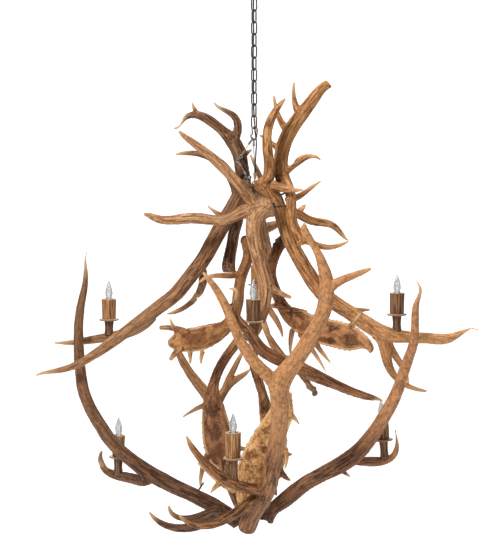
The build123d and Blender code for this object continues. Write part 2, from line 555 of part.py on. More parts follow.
def eye_screw(place, outward, pull):
    """An eye screw: its shank, and a ring that lies along the pull. Returns it with the ring's middle."""
    centre = place + outward * (3.0 + EYE_RADIUS)
    flat = outward.cross((pull - centre).normalized()).normalized()
    shank = rod(place - outward * 18.0, place + outward * 3.0, EYE_WIRE / 2 + 0.3)
    return ring(centre, flat, EYE_RADIUS, EYE_WIRE) + shank, centre, flat


def sling(hold, wire, place, outward):
    """A crimped cable with a loop at each end, its two ferrules and the eye screw below it."""
    outward = Vector(*outward).normalized()
    place = hung(place)
    eye, eye_centre, flat = eye_screw(place, outward, hold)
    rise = (hold - eye_centre).normalized()
    low = eye_centre + rise * EYE_RADIUS
    across = flat.cross(rise).normalized()
    top_axis = (wire - rise * rise.dot(wire)).normalized()
    low_end, high_end = low + rise * SLING_LOOP, hold - rise * SLING_LOOP
    cable = rod(low_end, high_end, SLING_RADIUS) + ring(low, across, SLING_LOOP, 2 * SLING_RADIUS)
    cable += ring(hold, top_axis, SLING_LOOP, 2 * SLING_RADIUS)
    ferrules = []
    for start, way in ((low_end, rise), (high_end, rise * -1)):
        first = start + way * 2.5
        ferrule = rod(first, first + way * FERRULE_LENGTH, FERRULE_RADIUS)
        ferrules.append(ferrule - rod(start, start + way * 20.0, SLING_RADIUS + 0.05))
    return cable, ferrules, eye, eye_centre, flat


def slings():
    """The slings from the quick link, and the tie that goes on from the first one's eye."""
    made = [sling(*quick_wire(angle), place, outward) for angle, place, outward, _ in SLINGS]
    _, _, _, eye_centre, flat = made[0]
    place, outward, _ = TIE
    down = hung(place) - eye_centre
    down = (down - flat * flat.dot(down)).normalized()
    made.append(sling(eye_centre + down * EYE_RADIUS, flat.cross(down).normalized(), place, outward))
    return made


# ---------------------------------------------------------------- supply cord
CORD_ANTLER = "upper_right"
CORD_ENTRY = (3, -9, -90)
GLAND_DEPTH = 14.0
CORD_ROUTE = [
    (0, 0, -CANOPY_DEPTH - COLLAR_HEIGHT - 10.0 - HANG_Z),
    (0, 3, CANOPY_LOOP_CENTRE - HANG_Z),
    (-1, 13, CANOPY_LOOP_CENTRE - LOOP_RADIUS - 12 - HANG_Z),
    (-2, CORD_OFFSET, 350),
    (-1, CORD_OFFSET, 290),
    (-3, CORD_OFFSET + 0.5, 232),
    (-1, CORD_OFFSET, 175),
    (-2, CORD_OFFSET, 118),
    (0, CORD_OFFSET + 0.5, 66),
    (2, CORD_OFFSET - 2, 40),
    (3, 3, 20),
    (7, -4, -4),
    (5, -8, -34),
    (3, -10, -64),
    CORD_ENTRY,
]


def cord():
    """Supply cord from the canopy loop, down behind the chain, to its gland in an antler."""
    points = [hung(p) for p in CORD_ROUTE]
    radii = []
    for before, here, after in zip(points, points[1:], points[2:]):
        first, second = here - before, after - here
        half_turn = radians(first.get_angle(second)) / 2
        radii.append(0.45 * min(first.length, second.length) / max(sin(half_turn) / cos(half_turn), 1e-6))
    print("cord corner radii", [round(radius) for radius in radii])
    line = FilletPolyline(*points, radius=radii)
    start = Plane(points[0], z_dir=points[1] - points[0])
    return sweep(start * Circle(CORD_RADIUS), path=line), line.length


def cord_gland():
    """Brass bushing where the cord enters the antler."""
    top = hung(CORD_ENTRY)
    bush = rod(top, top - Vector(0, 0, GLAND_DEPTH), 3.9) + rod(top - Vector(0, 0, 1.0), top + Vector(0, 0, 2.0), 6.0)
    return bush - rod(top + Vector(0, 0, 3), top - Vector(0, 0, GLAND_DEPTH + 1), CORD_RADIUS + HOLE_CLEARANCE)


# ---------------------------------------------------------------- candle lights
def light_place(centre, lean):
    """Where a light stands: the middle of its bobeche, with Z along the candle."""
    return Location(hung(centre)) * Rot(0, lean, 0)


def stem_seat(light):
    """The flat-bottomed seat that a light's stem stands in, in its antler."""
    centre, _, _, _, radius, height, lean, _ = light
    low = -BOBECHE_THICKNESS / 2 - height - STEM_SINK
    return light_place(centre, lean) * rod((0, 0, low), (0, 0, low + 2 * STEM_SINK + 12.0), radius + SEAT_CLEARANCE)


def stem(radius, height):
    """Antler stem below the bobeche, bored for the nipple."""
    top = -BOBECHE_THICKNESS / 2
    low = top - height - STEM_SINK
    body = turned([(0, top), (radius, top), (radius * 0.95, (top + low) / 2), (radius, low), (0, low)])
    return body - rod((0, 0, top + 1), (0, 0, top - 18.0), NIPPLE_RADIUS + HOLE_CLEARANCE)


def bobeche(radius):
    """Thin disc cut across an antler, with an eased edge."""
    disc = fillet(Cylinder(radius, BOBECHE_THICKNESS).edges(), 1.2)
    return disc - Cylinder(NIPPLE_RADIUS + HOLE_CLEARANCE, 3 * BOBECHE_THICKNESS)


def candle_cover(radius, height):
    """Candle cover: a hollow length of antler, a little wider at its rim."""
    low = BOBECHE_THICKNESS / 2
    return turned([(COVER_BORE, low), (radius * 0.94, low), (radius, low + height), (COVER_BORE, low + height)])


def light_nipple():
    """Short hollow nipple through the stem, the bobeche and the socket's foot."""
    low = -BOBECHE_THICKNESS / 2 - 17.0
    high = BOBECHE_THICKNESS / 2 + 10.0
    return rod((0, 0, low), (0, 0, high), NIPPLE_RADIUS) - rod((0, 0, low - 1), (0, 0, high + 1), NIPPLE_BORE)


def socket(height):
    """Candelabra socket inside the cover."""
    low, top = BOBECHE_THICKNESS / 2, BOBECHE_THICKNESS / 2 + height - SOCKET_DROP
    body = rod((0, 0, low), (0, 0, top), SOCKET_RADIUS)
    body -= rod((0, 0, low - 1), (0, 0, low + 12.0), NIPPLE_RADIUS + HOLE_CLEARANCE)
    return body - rod((0, 0, top + 1), (0, 0, top - BULB_BASE_LENGTH - 6.0), SOCKET_BORE)


def bulb(height):
    """Flame bulb: its screw base, a soldered tip and the hollow glass."""
    seat = BOBECHE_THICKNESS / 2 + height - SOCKET_DROP
    base = turned([(0, seat), (BULB_BASE_RADIUS, seat), (BULB_BASE_RADIUS, seat - BULB_BASE_LENGTH + 4),
                   (2.6, seat - BULB_BASE_LENGTH), (0, seat - BULB_BASE_LENGTH)])
    with BuildPart() as glass:
        with BuildSketch(Plane.XZ):
            with BuildLine():
                outer = Spline((5.6, seat + 0.1), (BULB_RADIUS * 0.8, seat + 9), (BULB_RADIUS, seat + 21),
                               (BULB_RADIUS * 0.7, seat + 37), (2.6, seat + 51), (0, seat + 58),
                               tangents=[(0, 1), (-0.2, 1)])
                inner = Spline((5.6 - GLASS_WALL, seat + 0.1), (BULB_RADIUS * 0.8 - GLASS_WALL, seat + 9),
                               (BULB_RADIUS - GLASS_WALL, seat + 21),
                               (BULB_RADIUS * 0.7 - GLASS_WALL, seat + 36.5), (2.0, seat + 49), (0, seat + 54),
                               tangents=[(0, 1), (-0.3, 1)])
                Line(outer @ 0, inner @ 0)
                Line(outer @ 1, inner @ 1)
            make_face()
        revolve(axis=Axis.Z)
    return base, glass.part


# ---------------------------------------------------------------- build
def build():
    """Make every node and write it."""
    os.makedirs("parts", exist_ok=True)
    save("ceiling_crossbar", crossbar())
    save("lock_nuts", *lock_nuts())
    save("canopy", canopy())
    save("canopy_loop", canopy_loop())
    save("collar_ring", collar_ring())
    save("loop_nipple", loop_nipple())
    save("ground_screw", ground_screw())
    for index in range(CHAIN_LINKS):
        save(f"chain_link_{index + 1:02d}", chain_link(index))
    save("quick_link", quick_link())
    save("quick_link_nut", quick_link_nut())

    hung_by = slings()
    save("sling_cables", *[made[0] for made in hung_by])
    save("sling_ferrules", *[ferrule for made in hung_by for ferrule in made[1]])
    save("eye_screws", *[made[2] for made in hung_by])
    tube, length = cord()
    print("cord length", round(length), "volume ratio", round(tube.volume / (pi * CORD_RADIUS ** 2 * length), 4))
    save("supply_cord", tube)
    save("cord_gland", cord_gland())

    for name in ANTLERS:
        save(f"{name}_antler", antler(name))
    save("joining_screws", *[rod(hung(start), hung(end), SCREW_RADIUS) for start, end, _, _ in JOINING_SCREWS])

    pieces = {"candle_stems": [], "bobeches": [], "candle_covers": [], "light_nipples": [], "sockets": []}
    for number, light in enumerate(LIGHTS.values(), start=1):
        centre, cover_radius, cover_height, disc_radius, stem_radius, stem_height, lean, _ = light
        place = light_place(centre, lean)
        pieces["candle_stems"].append(place * stem(stem_radius, stem_height))
        pieces["bobeches"].append(place * bobeche(disc_radius))
        pieces["candle_covers"].append(place * candle_cover(cover_radius, cover_height))
        pieces["light_nipples"].append(place * light_nipple())
        pieces["sockets"].append(place * socket(cover_height))
        save(f"bulb_{number}", *[place * piece for piece in bulb(cover_height)])
    for name, solids in pieces.items():
        save(name, *solids)
    print("hanging point", round(HANG_Z, 1))


build()
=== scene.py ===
import json
import logging
import math
from dataclasses import dataclass, field
from enum import Enum
from typing import Callable, Iterable, Sequence

import bmesh
import bpy
import numpy as np
from mathutils import Matrix, Vector, noise
from mathutils.bvhtree import BVHTree


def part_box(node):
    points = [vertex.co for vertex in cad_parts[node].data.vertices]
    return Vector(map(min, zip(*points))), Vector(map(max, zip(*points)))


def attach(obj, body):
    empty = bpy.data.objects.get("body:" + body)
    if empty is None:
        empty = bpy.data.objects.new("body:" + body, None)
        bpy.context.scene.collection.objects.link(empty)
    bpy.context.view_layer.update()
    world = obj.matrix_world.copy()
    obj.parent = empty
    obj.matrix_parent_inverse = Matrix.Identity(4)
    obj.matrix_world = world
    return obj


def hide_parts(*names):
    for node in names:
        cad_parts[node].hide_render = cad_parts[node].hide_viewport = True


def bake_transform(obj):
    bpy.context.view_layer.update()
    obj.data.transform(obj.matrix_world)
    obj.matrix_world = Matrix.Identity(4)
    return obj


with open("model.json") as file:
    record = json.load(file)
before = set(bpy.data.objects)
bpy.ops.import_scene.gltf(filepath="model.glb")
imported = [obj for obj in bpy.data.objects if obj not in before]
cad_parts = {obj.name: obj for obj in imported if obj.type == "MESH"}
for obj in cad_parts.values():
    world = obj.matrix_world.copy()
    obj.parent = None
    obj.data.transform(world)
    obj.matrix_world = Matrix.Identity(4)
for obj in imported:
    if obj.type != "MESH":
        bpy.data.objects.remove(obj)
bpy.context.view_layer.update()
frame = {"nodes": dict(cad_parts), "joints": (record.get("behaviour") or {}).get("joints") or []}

LOG = logging.getLogger("antler_chandelier")
Colour = tuple[float, float, float]

CLUSTER = "antler_cluster"
DOUBLE = 1e-6
CHAIN_LINKS = sorted(name for name in frame["nodes"] if name.startswith("chain_link_"))
LIGHTS = sorted(name for name in frame["nodes"] if name.startswith("bulb_"))
HANG = Vector((0.0, 0.0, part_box("quick_link")[0].z))
UPPER_HUB = HANG + Vector((0.0, 0.03, -0.13))
LOWER_HUB = Vector((0.0, 0.03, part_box("lower_left_antler")[0].z + 0.05))


class Slot(Enum):
    """The record's material slots."""
    ANTLER = "antler"
    CUT_ANTLER = "cut_antler"
    BARK_ANTLER = "bark_antler"
    BULB_GLASS = "bulb_glass"
    BRASS = "brass"
    STEEL = "steel"
    CORD_JACKET = "cord_jacket"


# ---------------------------------------------------------------- node groups and materials
class NodeTree:
    """A node tree with short ways to add and join nodes."""

    def __init__(self, tree: bpy.types.NodeTree) -> None:
        """Wrap a tree.

        Args:
            tree: The material's or group's tree.
        """
        self.tree = tree

    def add(self, kind: str, **settings: object) -> bpy.types.Node:
        """Add a node.

        Args:
            kind: The node's type, without its ShaderNode prefix.
            settings: Properties of the node, or values of its inputs by their names with spaces as _.

        Returns:
            The new node.
        """
        node = self.tree.nodes.new("ShaderNode" + kind)
        for key, value in settings.items():
            if hasattr(node, key):
                setattr(node, key, value)
            else:
                node.inputs[key.replace("_", " ")].default_value = value
        return node

    def join(self, source: bpy.types.NodeSocket, target: bpy.types.NodeSocket) -> None:
        """Link one socket to another."""
        self.tree.links.new(source, target)

    def attribute(self, name: str) -> bpy.types.Node:
        """A node that reads a mesh attribute."""
        return self.add("Attribute", attribute_name=name)

    def math(self, operation: str, first: object, second: object = 0.0) -> bpy.types.NodeSocket:
        """Do arithmetic on sockets or numbers.

        Args:
            operation: The Math node's operation.
            first: A socket or a number.
            second: A socket or a number.

        Returns:
            The result's socket.
        """
        node = self.add("Math", operation=operation)
        for place, value in enumerate((first, second)):
            if isinstance(value, bpy.types.NodeSocket):
                self.join(value, node.inputs[place])
            else:
                node.inputs[place].default_value = value
        return node.outputs[0]

    def ramp(self, value: bpy.types.NodeSocket, low: float, high: float) -> bpy.types.NodeSocket:
        """A smooth step of a value from 0 at low to 1 at high."""
        node = self.add("MapRange", interpolation_type="SMOOTHSTEP")
        self.join(value, node.inputs["Value"])
        node.inputs["From Min"].default_value = low
        node.inputs["From Max"].default_value = high
        return node.outputs["Result"]

    def mix(self, factor: object, first: object, second: object) -> bpy.types.NodeSocket:
        """Mix two colours.

        Args:
            factor: A socket or a number from 0 to 1.
            first: A socket or a colour.
            second: A socket or a colour.

        Returns:
            The mixed colour's socket.
        """
        node = self.add("Mix", data_type="RGBA")
        for place, value in ((0, factor), (6, first), (7, second)):
            if isinstance(value, bpy.types.NodeSocket):
                self.join(value, node.inputs[place])
            elif place:
                node.inputs[place].default_value = (*value, 1.0)
            else:
                node.inputs[place].default_value = value
        return node.outputs[2]

    def noise(self, vector: bpy.types.NodeSocket, scale: float, detail: float = 3.0,
              roughness: float = 0.55) -> bpy.types.NodeSocket:
        """A noise value from 0 to 1 on a vector."""
        node = self.add("TexNoise", Scale=scale, Detail=detail, Roughness=roughness)
        self.join(vector, node.inputs["Vector"])
        return node.outputs["Fac"]


def node_group(name: str, inputs: Sequence[tuple[str, str]], outputs: Sequence[tuple[str, str]],
               fill: Callable[[NodeTree, bpy.types.Node, bpy.types.Node], None]) -> bpy.types.NodeTree:
    """Build a shader node group once.

    Args:
        name: The group's name.
        inputs: Names and socket types of its inputs.
        outputs: Names and socket types of its outputs.
        fill: Adds the nodes between the group's input and output nodes.

    Returns:
        The group, the same one each time.
    """
    if name in bpy.data.node_groups:
        return bpy.data.node_groups[name]
    group = bpy.data.node_groups.new(name, "ShaderNodeTree")
    for label, kind in inputs:
        group.interface.new_socket(label, in_out="INPUT", socket_type="NodeSocket" + kind)
    for label, kind in outputs:
        group.interface.new_socket(label, in_out="OUTPUT", socket_type="NodeSocket" + kind)
    source, target = group.nodes.new("NodeGroupInput"), group.nodes.new("NodeGroupOutput")
    fill(NodeTree(group), source, target)
    return group


def horn_grain() -> bpy.types.NodeTree:
    """Grain of antler: streaks along the branch, pores, and stains over larger areas."""
    def fill(tree: NodeTree, source: bpy.types.Node, target: bpy.types.Node) -> None:
        """Lay out the group."""
        fine = tree.noise(source.outputs["Flow"], 2.3, 5.0, 0.65)
        broad = tree.noise(source.outputs["Flow"], 0.75, 3.0, 0.5)
        streak = tree.math("ADD", tree.math("MULTIPLY", fine, 0.6), tree.math("MULTIPLY", broad, 0.4))
        tree.join(tree.ramp(streak, 0.36, 0.66), target.inputs["Streak"])
        pores = tree.noise(source.outputs["Place"], 420.0, 2.0, 0.7)
        tree.join(tree.ramp(pores, 0.5, 0.68), target.inputs["Pores"])
        stain = tree.noise(source.outputs["Place"], 9.0, 4.0, 0.6)
        tree.join(tree.ramp(stain, 0.42, 0.58), target.inputs["Stain"])
        mottle = tree.noise(source.outputs["Place"], 95.0, 4.0, 0.7)
        tree.join(tree.ramp(mottle, 0.42, 0.64), target.inputs["Mottle"])
        warp = tree.add("TexNoise", Scale=34.0, Detail=3.0)
        tree.join(source.outputs["Place"], warp.inputs["Vector"])
        bent = tree.add("VectorMath", operation="MULTIPLY_ADD")
        tree.join(warp.outputs["Color"], bent.inputs[0])
        bent.inputs[1].default_value = (0.03, 0.03, 0.03)
        tree.join(source.outputs["Place"], bent.inputs[2])
        lines = tree.noise(bent.outputs[0], 46.0, 5.0, 0.62)
        beside = tree.math("ABSOLUTE", tree.math("SUBTRACT", lines, 0.5))
        tree.join(tree.math("SUBTRACT", 1.0, tree.ramp(beside, 0.003, 0.026)), target.inputs["Veins"])
        height = tree.math("SUBTRACT", streak, tree.math("MULTIPLY", tree.ramp(pores, 0.55, 0.8), 0.35))
        tree.join(height, target.inputs["Height"])
    return node_group("horn_grain", [("Flow", "Vector"), ("Place", "Vector")],
                      [("Streak", "Float"), ("Pores", "Float"), ("Stain", "Float"), ("Mottle", "Float"),
                       ("Veins", "Float"), ("Height", "Float")], fill)


def metal_patina() -> bpy.types.NodeTree:
    """Patina of a metal surface: cloudy tarnish, rubbed spots and fine scratches."""
    def fill(tree: NodeTree, source: bpy.types.Node, target: bpy.types.Node) -> None:
        """Lay out the group."""
        place = source.outputs["Place"]
        cloud = tree.noise(place, 45.0, 4.0, 0.6)
        tree.join(tree.ramp(cloud, 0.35, 0.7), target.inputs["Tarnish"])
        rub = tree.noise(place, 210.0, 3.0, 0.6)
        tree.join(tree.ramp(rub, 0.55, 0.72), target.inputs["Rubbed"])
        scratch = tree.noise(place, 900.0, 2.0, 0.7)
        tree.join(scratch, target.inputs["Height"])
    return node_group("metal_patina", [("Place", "Vector")],
                      [("Tarnish", "Float"), ("Rubbed", "Float"), ("Height", "Float")], fill)


def new_material(name: str) -> tuple[bpy.types.Material, NodeTree, bpy.types.Node]:
    """Start a material.

    Args:
        name: The material's name.

    Returns:
        The material, its tree and its Principled shader.
    """
    material = bpy.data.materials.new(name)
    material.use_nodes = True
    return material, NodeTree(material.node_tree), material.node_tree.nodes["Principled BSDF"]


def add_bump(tree: NodeTree, shader: bpy.types.Node, height: bpy.types.NodeSocket, distance: float,
             strength: float = 1.0) -> None:
    """Feed a height to the shader's normal through a Bump node."""
    bump = tree.add("Bump", Strength=strength, Distance=distance)
    tree.join(height, bump.inputs["Height"])
    tree.join(bump.outputs["Normal"], shader.inputs["Normal"])


@dataclass(frozen=True)
class HornFinish:
    """The colours of one antler.

    Attributes:
        name: The material's name.
        groove: Colour in the grooves, a painted shade far darker than the body.
        body: The main colour.
        ridge: Colour of the rubbed ridges.
        tip: Colour of the polished tips.
        stain: Colour of the darker, redder patches.
        stained: How strong the patches are.
        veined: How strong the pale veins of a palm are.
        rooted: How much darker it is near its burr.
        paled: How much paler its far ends are.
    """
    name: str
    groove: Colour
    body: Colour
    ridge: Colour
    tip: Colour
    stain: Colour
    stained: float = 0.5
    veined: float = 0.0
    rooted: float = 0.45
    paled: float = 0.25

    def darker(self, share: float) -> Colour:
        """The body colour with a share of the groove's colour in it."""
        return tuple((1.0 - share) * part + share * dark for part, dark in zip(self.body, self.groove))

    def material(self) -> bpy.types.Material:
        """Build the material.

        Returns:
            The material, whose patterns follow the mesh's attributes.
        """
        if self.name in bpy.data.materials:
            return bpy.data.materials[self.name]
        material, tree, shader = new_material(self.name)
        flow, relief = tree.attribute("flow"), tree.attribute("relief")
        thin, burr = tree.attribute("thin"), tree.attribute("burr")
        reach = tree.attribute("reach").outputs["Fac"]
        place = tree.add("TexCoord").outputs["Object"]
        grain = tree.add("Group", node_tree=horn_grain())
        tree.join(flow.outputs["Vector"], grain.inputs["Flow"])
        tree.join(place, grain.inputs["Place"])
        # Painted shade: the grooves take the far darker groove colour, where shade would fall in them.
        rise = tree.ramp(relief.outputs["Fac"], 0.3, 0.66)
        colour = tree.mix(rise, self.groove, self.body)
        patch = tree.math("MULTIPLY", grain.outputs["Stain"], self.stained)
        colour = tree.mix(patch, colour, self.stain)
        far = tree.math("MULTIPLY", tree.ramp(reach, 0.55, 1.0), self.paled)
        colour = tree.mix(far, colour, self.ridge)
        near = tree.math("MULTIPLY", tree.math("SUBTRACT", 1.0, tree.ramp(reach, 0.05, 0.7)), self.rooted)
        colour = tree.mix(near, colour, self.darker(0.7))
        speckled = tree.math("MULTIPLY", grain.outputs["Mottle"], 0.65)
        colour = tree.mix(speckled, colour, self.darker(0.5))
        rubbed = tree.math("MULTIPLY", tree.math("MULTIPLY", grain.outputs["Streak"], rise), 0.5)
        colour = tree.mix(rubbed, colour, self.ridge)
        if self.veined:
            vein = tree.math("MULTIPLY", grain.outputs["Veins"], self.veined)
            colour = tree.mix(vein, colour, self.ridge)
        polish = tree.ramp(thin.outputs["Fac"], 0.15, 0.95)
        tipped = tree.math("MULTIPLY", polish, 0.55)
        colour = tree.mix(tipped, colour, self.tip)
        open_pores = tree.math("SUBTRACT", 0.55, tree.math("MULTIPLY", polish, 0.4))
        pores = tree.math("MULTIPLY", grain.outputs["Pores"], open_pores)
        colour = tree.mix(pores, colour, self.groove)
        rough_end = tree.math("MULTIPLY", tree.ramp(burr.outputs["Fac"], 0.1, 1.0), 0.65)
        colour = tree.mix(rough_end, colour, self.groove)
        tree.join(colour, shader.inputs["Base Color"])
        rough = tree.math("SUBTRACT", 0.62, tree.math("MULTIPLY", polish, 0.2))
        rough = tree.math("SUBTRACT", rough, tree.math("MULTIPLY", rubbed, 0.12))
        tree.join(rough, shader.inputs["Roughness"])
        shader.inputs["Specular IOR Level"].default_value = 0.24
        add_bump(tree, shader, grain.outputs["Height"], 0.0011)
        return material


@dataclass(frozen=True)
class MetalFinish:
    """A metal: its clean and tarnished colours."""
    name: str
    clean: Colour
    tarnished: Colour
    roughness: float = 0.35
    metallic: float = 1.0
    bump: float = 0.0002

    def material(self) -> bpy.types.Material:
        """Build the material, the same one each time."""
        if self.name in bpy.data.materials:
            return bpy.data.materials[self.name]
        material, tree, shader = new_material(self.name)
        patina = tree.add("Group", node_tree=metal_patina())
        tree.join(tree.add("TexCoord").outputs["Object"], patina.inputs["Place"])
        colour = tree.mix(patina.outputs["Tarnish"], self.clean, self.tarnished)
        brighter = tuple(min(1.0, part * 1.9 + 0.02) for part in self.clean)
        rubbed = tree.math("MULTIPLY", patina.outputs["Rubbed"], 0.4)
        colour = tree.mix(rubbed, colour, brighter)
        tree.join(colour, shader.inputs["Base Color"])
        rough = tree.math("ADD", self.roughness, tree.math("MULTIPLY", patina.outputs["Tarnish"], 0.18))
        tree.join(rough, shader.inputs["Roughness"])
        shader.inputs["Metallic"].default_value = self.metallic
        add_bump(tree, shader, patina.outputs["Height"], self.bump)
        return material


def sawn_antler() -> bpy.types.Material:
    """Sawn face of antler: cream rind round a porous middle."""
    if "sawn_antler" in bpy.data.materials:
        return bpy.data.materials["sawn_antler"]
    material, tree, shader = new_material("sawn_antler")
    place = tree.add("TexCoord").outputs["Object"]
    cloud = tree.ramp(tree.noise(place, 120.0, 4.0, 0.6), 0.35, 0.68)
    pores = tree.ramp(tree.noise(place, 900.0, 2.0, 0.7), 0.56, 0.7)
    rind = tree.attribute("rind")
    colour = tree.mix(cloud, (0.72, 0.58, 0.38), (0.55, 0.40, 0.24))
    colour = tree.mix(tree.math("MULTIPLY", pores, 0.5), colour, (0.26, 0.16, 0.09))
    colour = tree.mix(tree.ramp(rind.outputs["Fac"], 0.2, 0.8), colour, (0.24, 0.13, 0.065))
    tree.join(colour, shader.inputs["Base Color"])
    tree.join(tree.math("ADD", 0.5, tree.math("MULTIPLY", pores, 0.2)), shader.inputs["Roughness"])
    add_bump(tree, shader, tree.noise(place, 900.0, 2.0, 0.7), 0.0005)
    return material


def clear_glass() -> bpy.types.Material:
    """Clear lamp glass."""
    if "clear_glass" in bpy.data.materials:
        return bpy.data.materials["clear_glass"]
    material, tree, shader = new_material("clear_glass")
    smoke = tree.noise(tree.add("TexCoord").outputs["Object"], 60.0)
    tree.join(tree.mix(smoke, (0.62, 0.65, 0.68), (0.85, 0.87, 0.89)), shader.inputs["Base Color"])
    tree.join(tree.math("ADD", 0.08, tree.math("MULTIPLY", smoke, 0.12)), shader.inputs["Roughness"])
    shader.inputs["Transmission Weight"].default_value = 0.8
    shader.inputs["IOR"].default_value = 1.47
    return material


def milky_glass() -> bpy.types.Material:
    """Milky glass of a lamp's mount, with a painted glow as if the filament's light filled it."""
    if "milky_glass" in bpy.data.materials:
        return bpy.data.materials["milky_glass"]
    material, tree, shader = new_material("milky_glass")
    cloud = tree.noise(tree.add("TexCoord").outputs["Object"], 240.0)
    tree.join(tree.mix(cloud, (0.8, 0.8, 0.78), (0.93, 0.93, 0.91)), shader.inputs["Base Color"])
    tree.join(tree.math("ADD", 0.3, tree.math("MULTIPLY", cloud, 0.2)), shader.inputs["Roughness"])
    # Painted glow: the mount is given its own emission, as if lit from within by the filament.
    shader.inputs["Emission Color"].default_value = (1.0, 0.97, 0.9, 1.0)
    shader.inputs["Emission Strength"].default_value = 0.5
    return material


def moulded_plastic(name: str, colour: Colour, roughness: float) -> bpy.types.Material:
    """Moulded or extruded plastic with a fine tooth.

    Args:
        name: The material's name.
        colour: Its colour.
        roughness: Its roughness.

    Returns:
        The material.
    """
    material, tree, shader = new_material(name)
    place = tree.add("TexCoord").outputs["Object"]
    cloud = tree.noise(place, 80.0)
    lighter = tuple(part * 1.5 + 0.01 for part in colour)
    tree.join(tree.mix(tree.ramp(cloud, 0.4, 0.7), colour, lighter), shader.inputs["Base Color"])
    tree.join(tree.math("ADD", roughness, tree.math("MULTIPLY", cloud, 0.1)), shader.inputs["Roughness"])
    add_bump(tree, shader, tree.noise(place, 1500.0, 2.0), 0.00015)
    return material


def glowing_filament() -> bpy.types.Material:
    """Tungsten filament, faintly warm."""
    material, tree, shader = new_material("tungsten")
    cloud = tree.noise(tree.add("TexCoord").outputs["Object"], 500.0)
    tree.join(tree.mix(cloud, (0.5, 0.42, 0.3), (0.75, 0.66, 0.5)), shader.inputs["Base Color"])
    shader.inputs["Roughness"].default_value = 0.35
    shader.inputs["Metallic"].default_value = 0.8
    shader.inputs["Emission Color"].default_value = (1.0, 0.72, 0.4, 1.0)
    shader.inputs["Emission Strength"].default_value = 3.0
    return material


DARK_BRONZE = MetalFinish("dark_bronze", (0.022, 0.015, 0.011), (0.007, 0.005, 0.004), 0.55, 0.0)
BLACKENED_SCREW = MetalFinish("blackened_screw", (0.06, 0.04, 0.028), (0.03, 0.02, 0.014), 0.5, 0.3)
DULL_STEEL = MetalFinish("dull_steel", (0.42, 0.40, 0.36), (0.16, 0.15, 0.13), 0.34)
ZINC = MetalFinish("zinc_plate", (0.58, 0.57, 0.50), (0.42, 0.42, 0.40), 0.32)
BRASS = MetalFinish("lamp_brass", (0.78, 0.58, 0.26), (0.45, 0.31, 0.13), 0.28)
GREEN_PAINT = MetalFinish("green_paint", (0.03, 0.24, 0.07), (0.02, 0.16, 0.05), 0.4, 0.0)


# ---------------------------------------------------------------- mesh helpers
def link_object(name: str, mesh: bpy.types.Mesh, material: bpy.types.Material) -> bpy.types.Object:
    """Put a mesh in the scene with one material."""
    piece = bpy.data.objects.new(name, mesh)
    bpy.context.scene.collection.objects.link(piece)
    mesh.materials.clear()
    mesh.materials.append(material)
    mesh.shade_smooth()
    return piece


def object_from(name: str, shape: bmesh.types.BMesh, material: bpy.types.Material,
                place: Matrix = Matrix.Identity(4)) -> bpy.types.Object:
    """Turn a bmesh into an object, with its place in its mesh.

    Args:
        name: The piece's name.
        shape: The bmesh, which is freed.
        material: Its material.
        place: Where it goes.

    Returns:
        The new object.
    """
    bmesh.ops.remove_doubles(shape, verts=shape.verts, dist=DOUBLE)
    bmesh.ops.recalc_face_normals(shape, faces=shape.faces)
    bmesh.ops.transform(shape, matrix=place, verts=shape.verts)
    mesh = bpy.data.meshes.new(name)
    shape.to_mesh(mesh)
    shape.free()
    return link_object(name, mesh, material)


def add_piece(piece: bpy.types.Object, body: str, slot: Slot, *nodes: str) -> bpy.types.Object:
    """Ride a piece on its body and hide the CAD nodes that it stands for.

    Args:
        piece: The piece.
        body: The body that it moves with.
        slot: The material slot of its finish; not used.
        nodes: CAD nodes that it replaces.

    Returns:
        The piece.
    """
    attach(piece, body)
    if nodes:
        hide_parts(*nodes)
    LOG.info("%s rides on %s", piece.name, body)
    return piece


def dress_node(name: str, material: bpy.types.Material) -> None:
    """Give a CAD node its material."""
    mesh = frame["nodes"][name].data
    mesh.materials.clear()
    mesh.materials.append(material)


def islands(name: str) -> list[np.ndarray]:
    """The vertices of each separate solid of a CAD node.

    Args:
        name: The node's name.

    Returns:
        One array of points per solid.
    """
    shape = bmesh.new()
    shape.from_mesh(frame["nodes"][name].data)
    bmesh.ops.remove_doubles(shape, verts=shape.verts, dist=DOUBLE)
    left, found = set(shape.verts), []
    while left:
        front = [left.pop()]
        group = []
        while front:
            vert = front.pop()
            group.append(vert.co[:])
            for edge in vert.link_edges:
                other = edge.other_vert(vert)
                if other in left:
                    left.discard(other)
                    front.append(other)
        found.append(np.array(group))
    shape.free()
    return found


def frame_matrix(origin: Vector, axis: Vector, side: Vector = Vector((1.0, 0.0, 0.0))) -> Matrix:
    """A placing matrix with Z along an axis and X near a side direction."""
    z = axis.normalized()
    y = z.cross(side).normalized()
    x = y.cross(z)
    return Matrix.Translation(origin) @ Matrix((x, y, z)).transposed().to_4x4()


def spun(profile: Iterable[tuple[float, float]], segments: int) -> bmesh.types.BMesh:
    """Spin a profile round Z.

    Args:
        profile: Radius and height of each point, in metres.
        segments: Steps round the axis.

    Returns:
        The spun shape.
    """
    shape = bmesh.new()
    verts = [shape.verts.new((radius, 0.0, height)) for radius, height in profile]
    edges = [shape.edges.new(pair) for pair in zip(verts, verts[1:])]
    bmesh.ops.spin(shape, geom=verts + edges, cent=(0, 0, 0), axis=(0, 0, 1), angle=math.tau,
                   steps=segments, use_merge=True)
    bmesh.ops.remove_doubles(shape, verts=shape.verts, dist=1e-7)
    return shape


def smooth_profile(points: Sequence[tuple[float, float]], steps: int) -> list[tuple[float, float]]:
    """A smooth curve through profile points."""
    ends = [points[0], *points, points[-1]]
    curve = []
    for before, first, second, after in zip(ends, ends[1:], ends[2:], ends[3:]):
        for step in range(steps):
            t = step / steps
            curve.append(tuple(
                0.5 * (2 * b + (c - a) * t + (2 * a - 5 * b + 4 * c - d) * t * t
                       + (3 * b - a - 3 * c + d) * t ** 3)
                for a, b, c, d in zip(before, first, second, after)))
    return curve + [points[-1]]


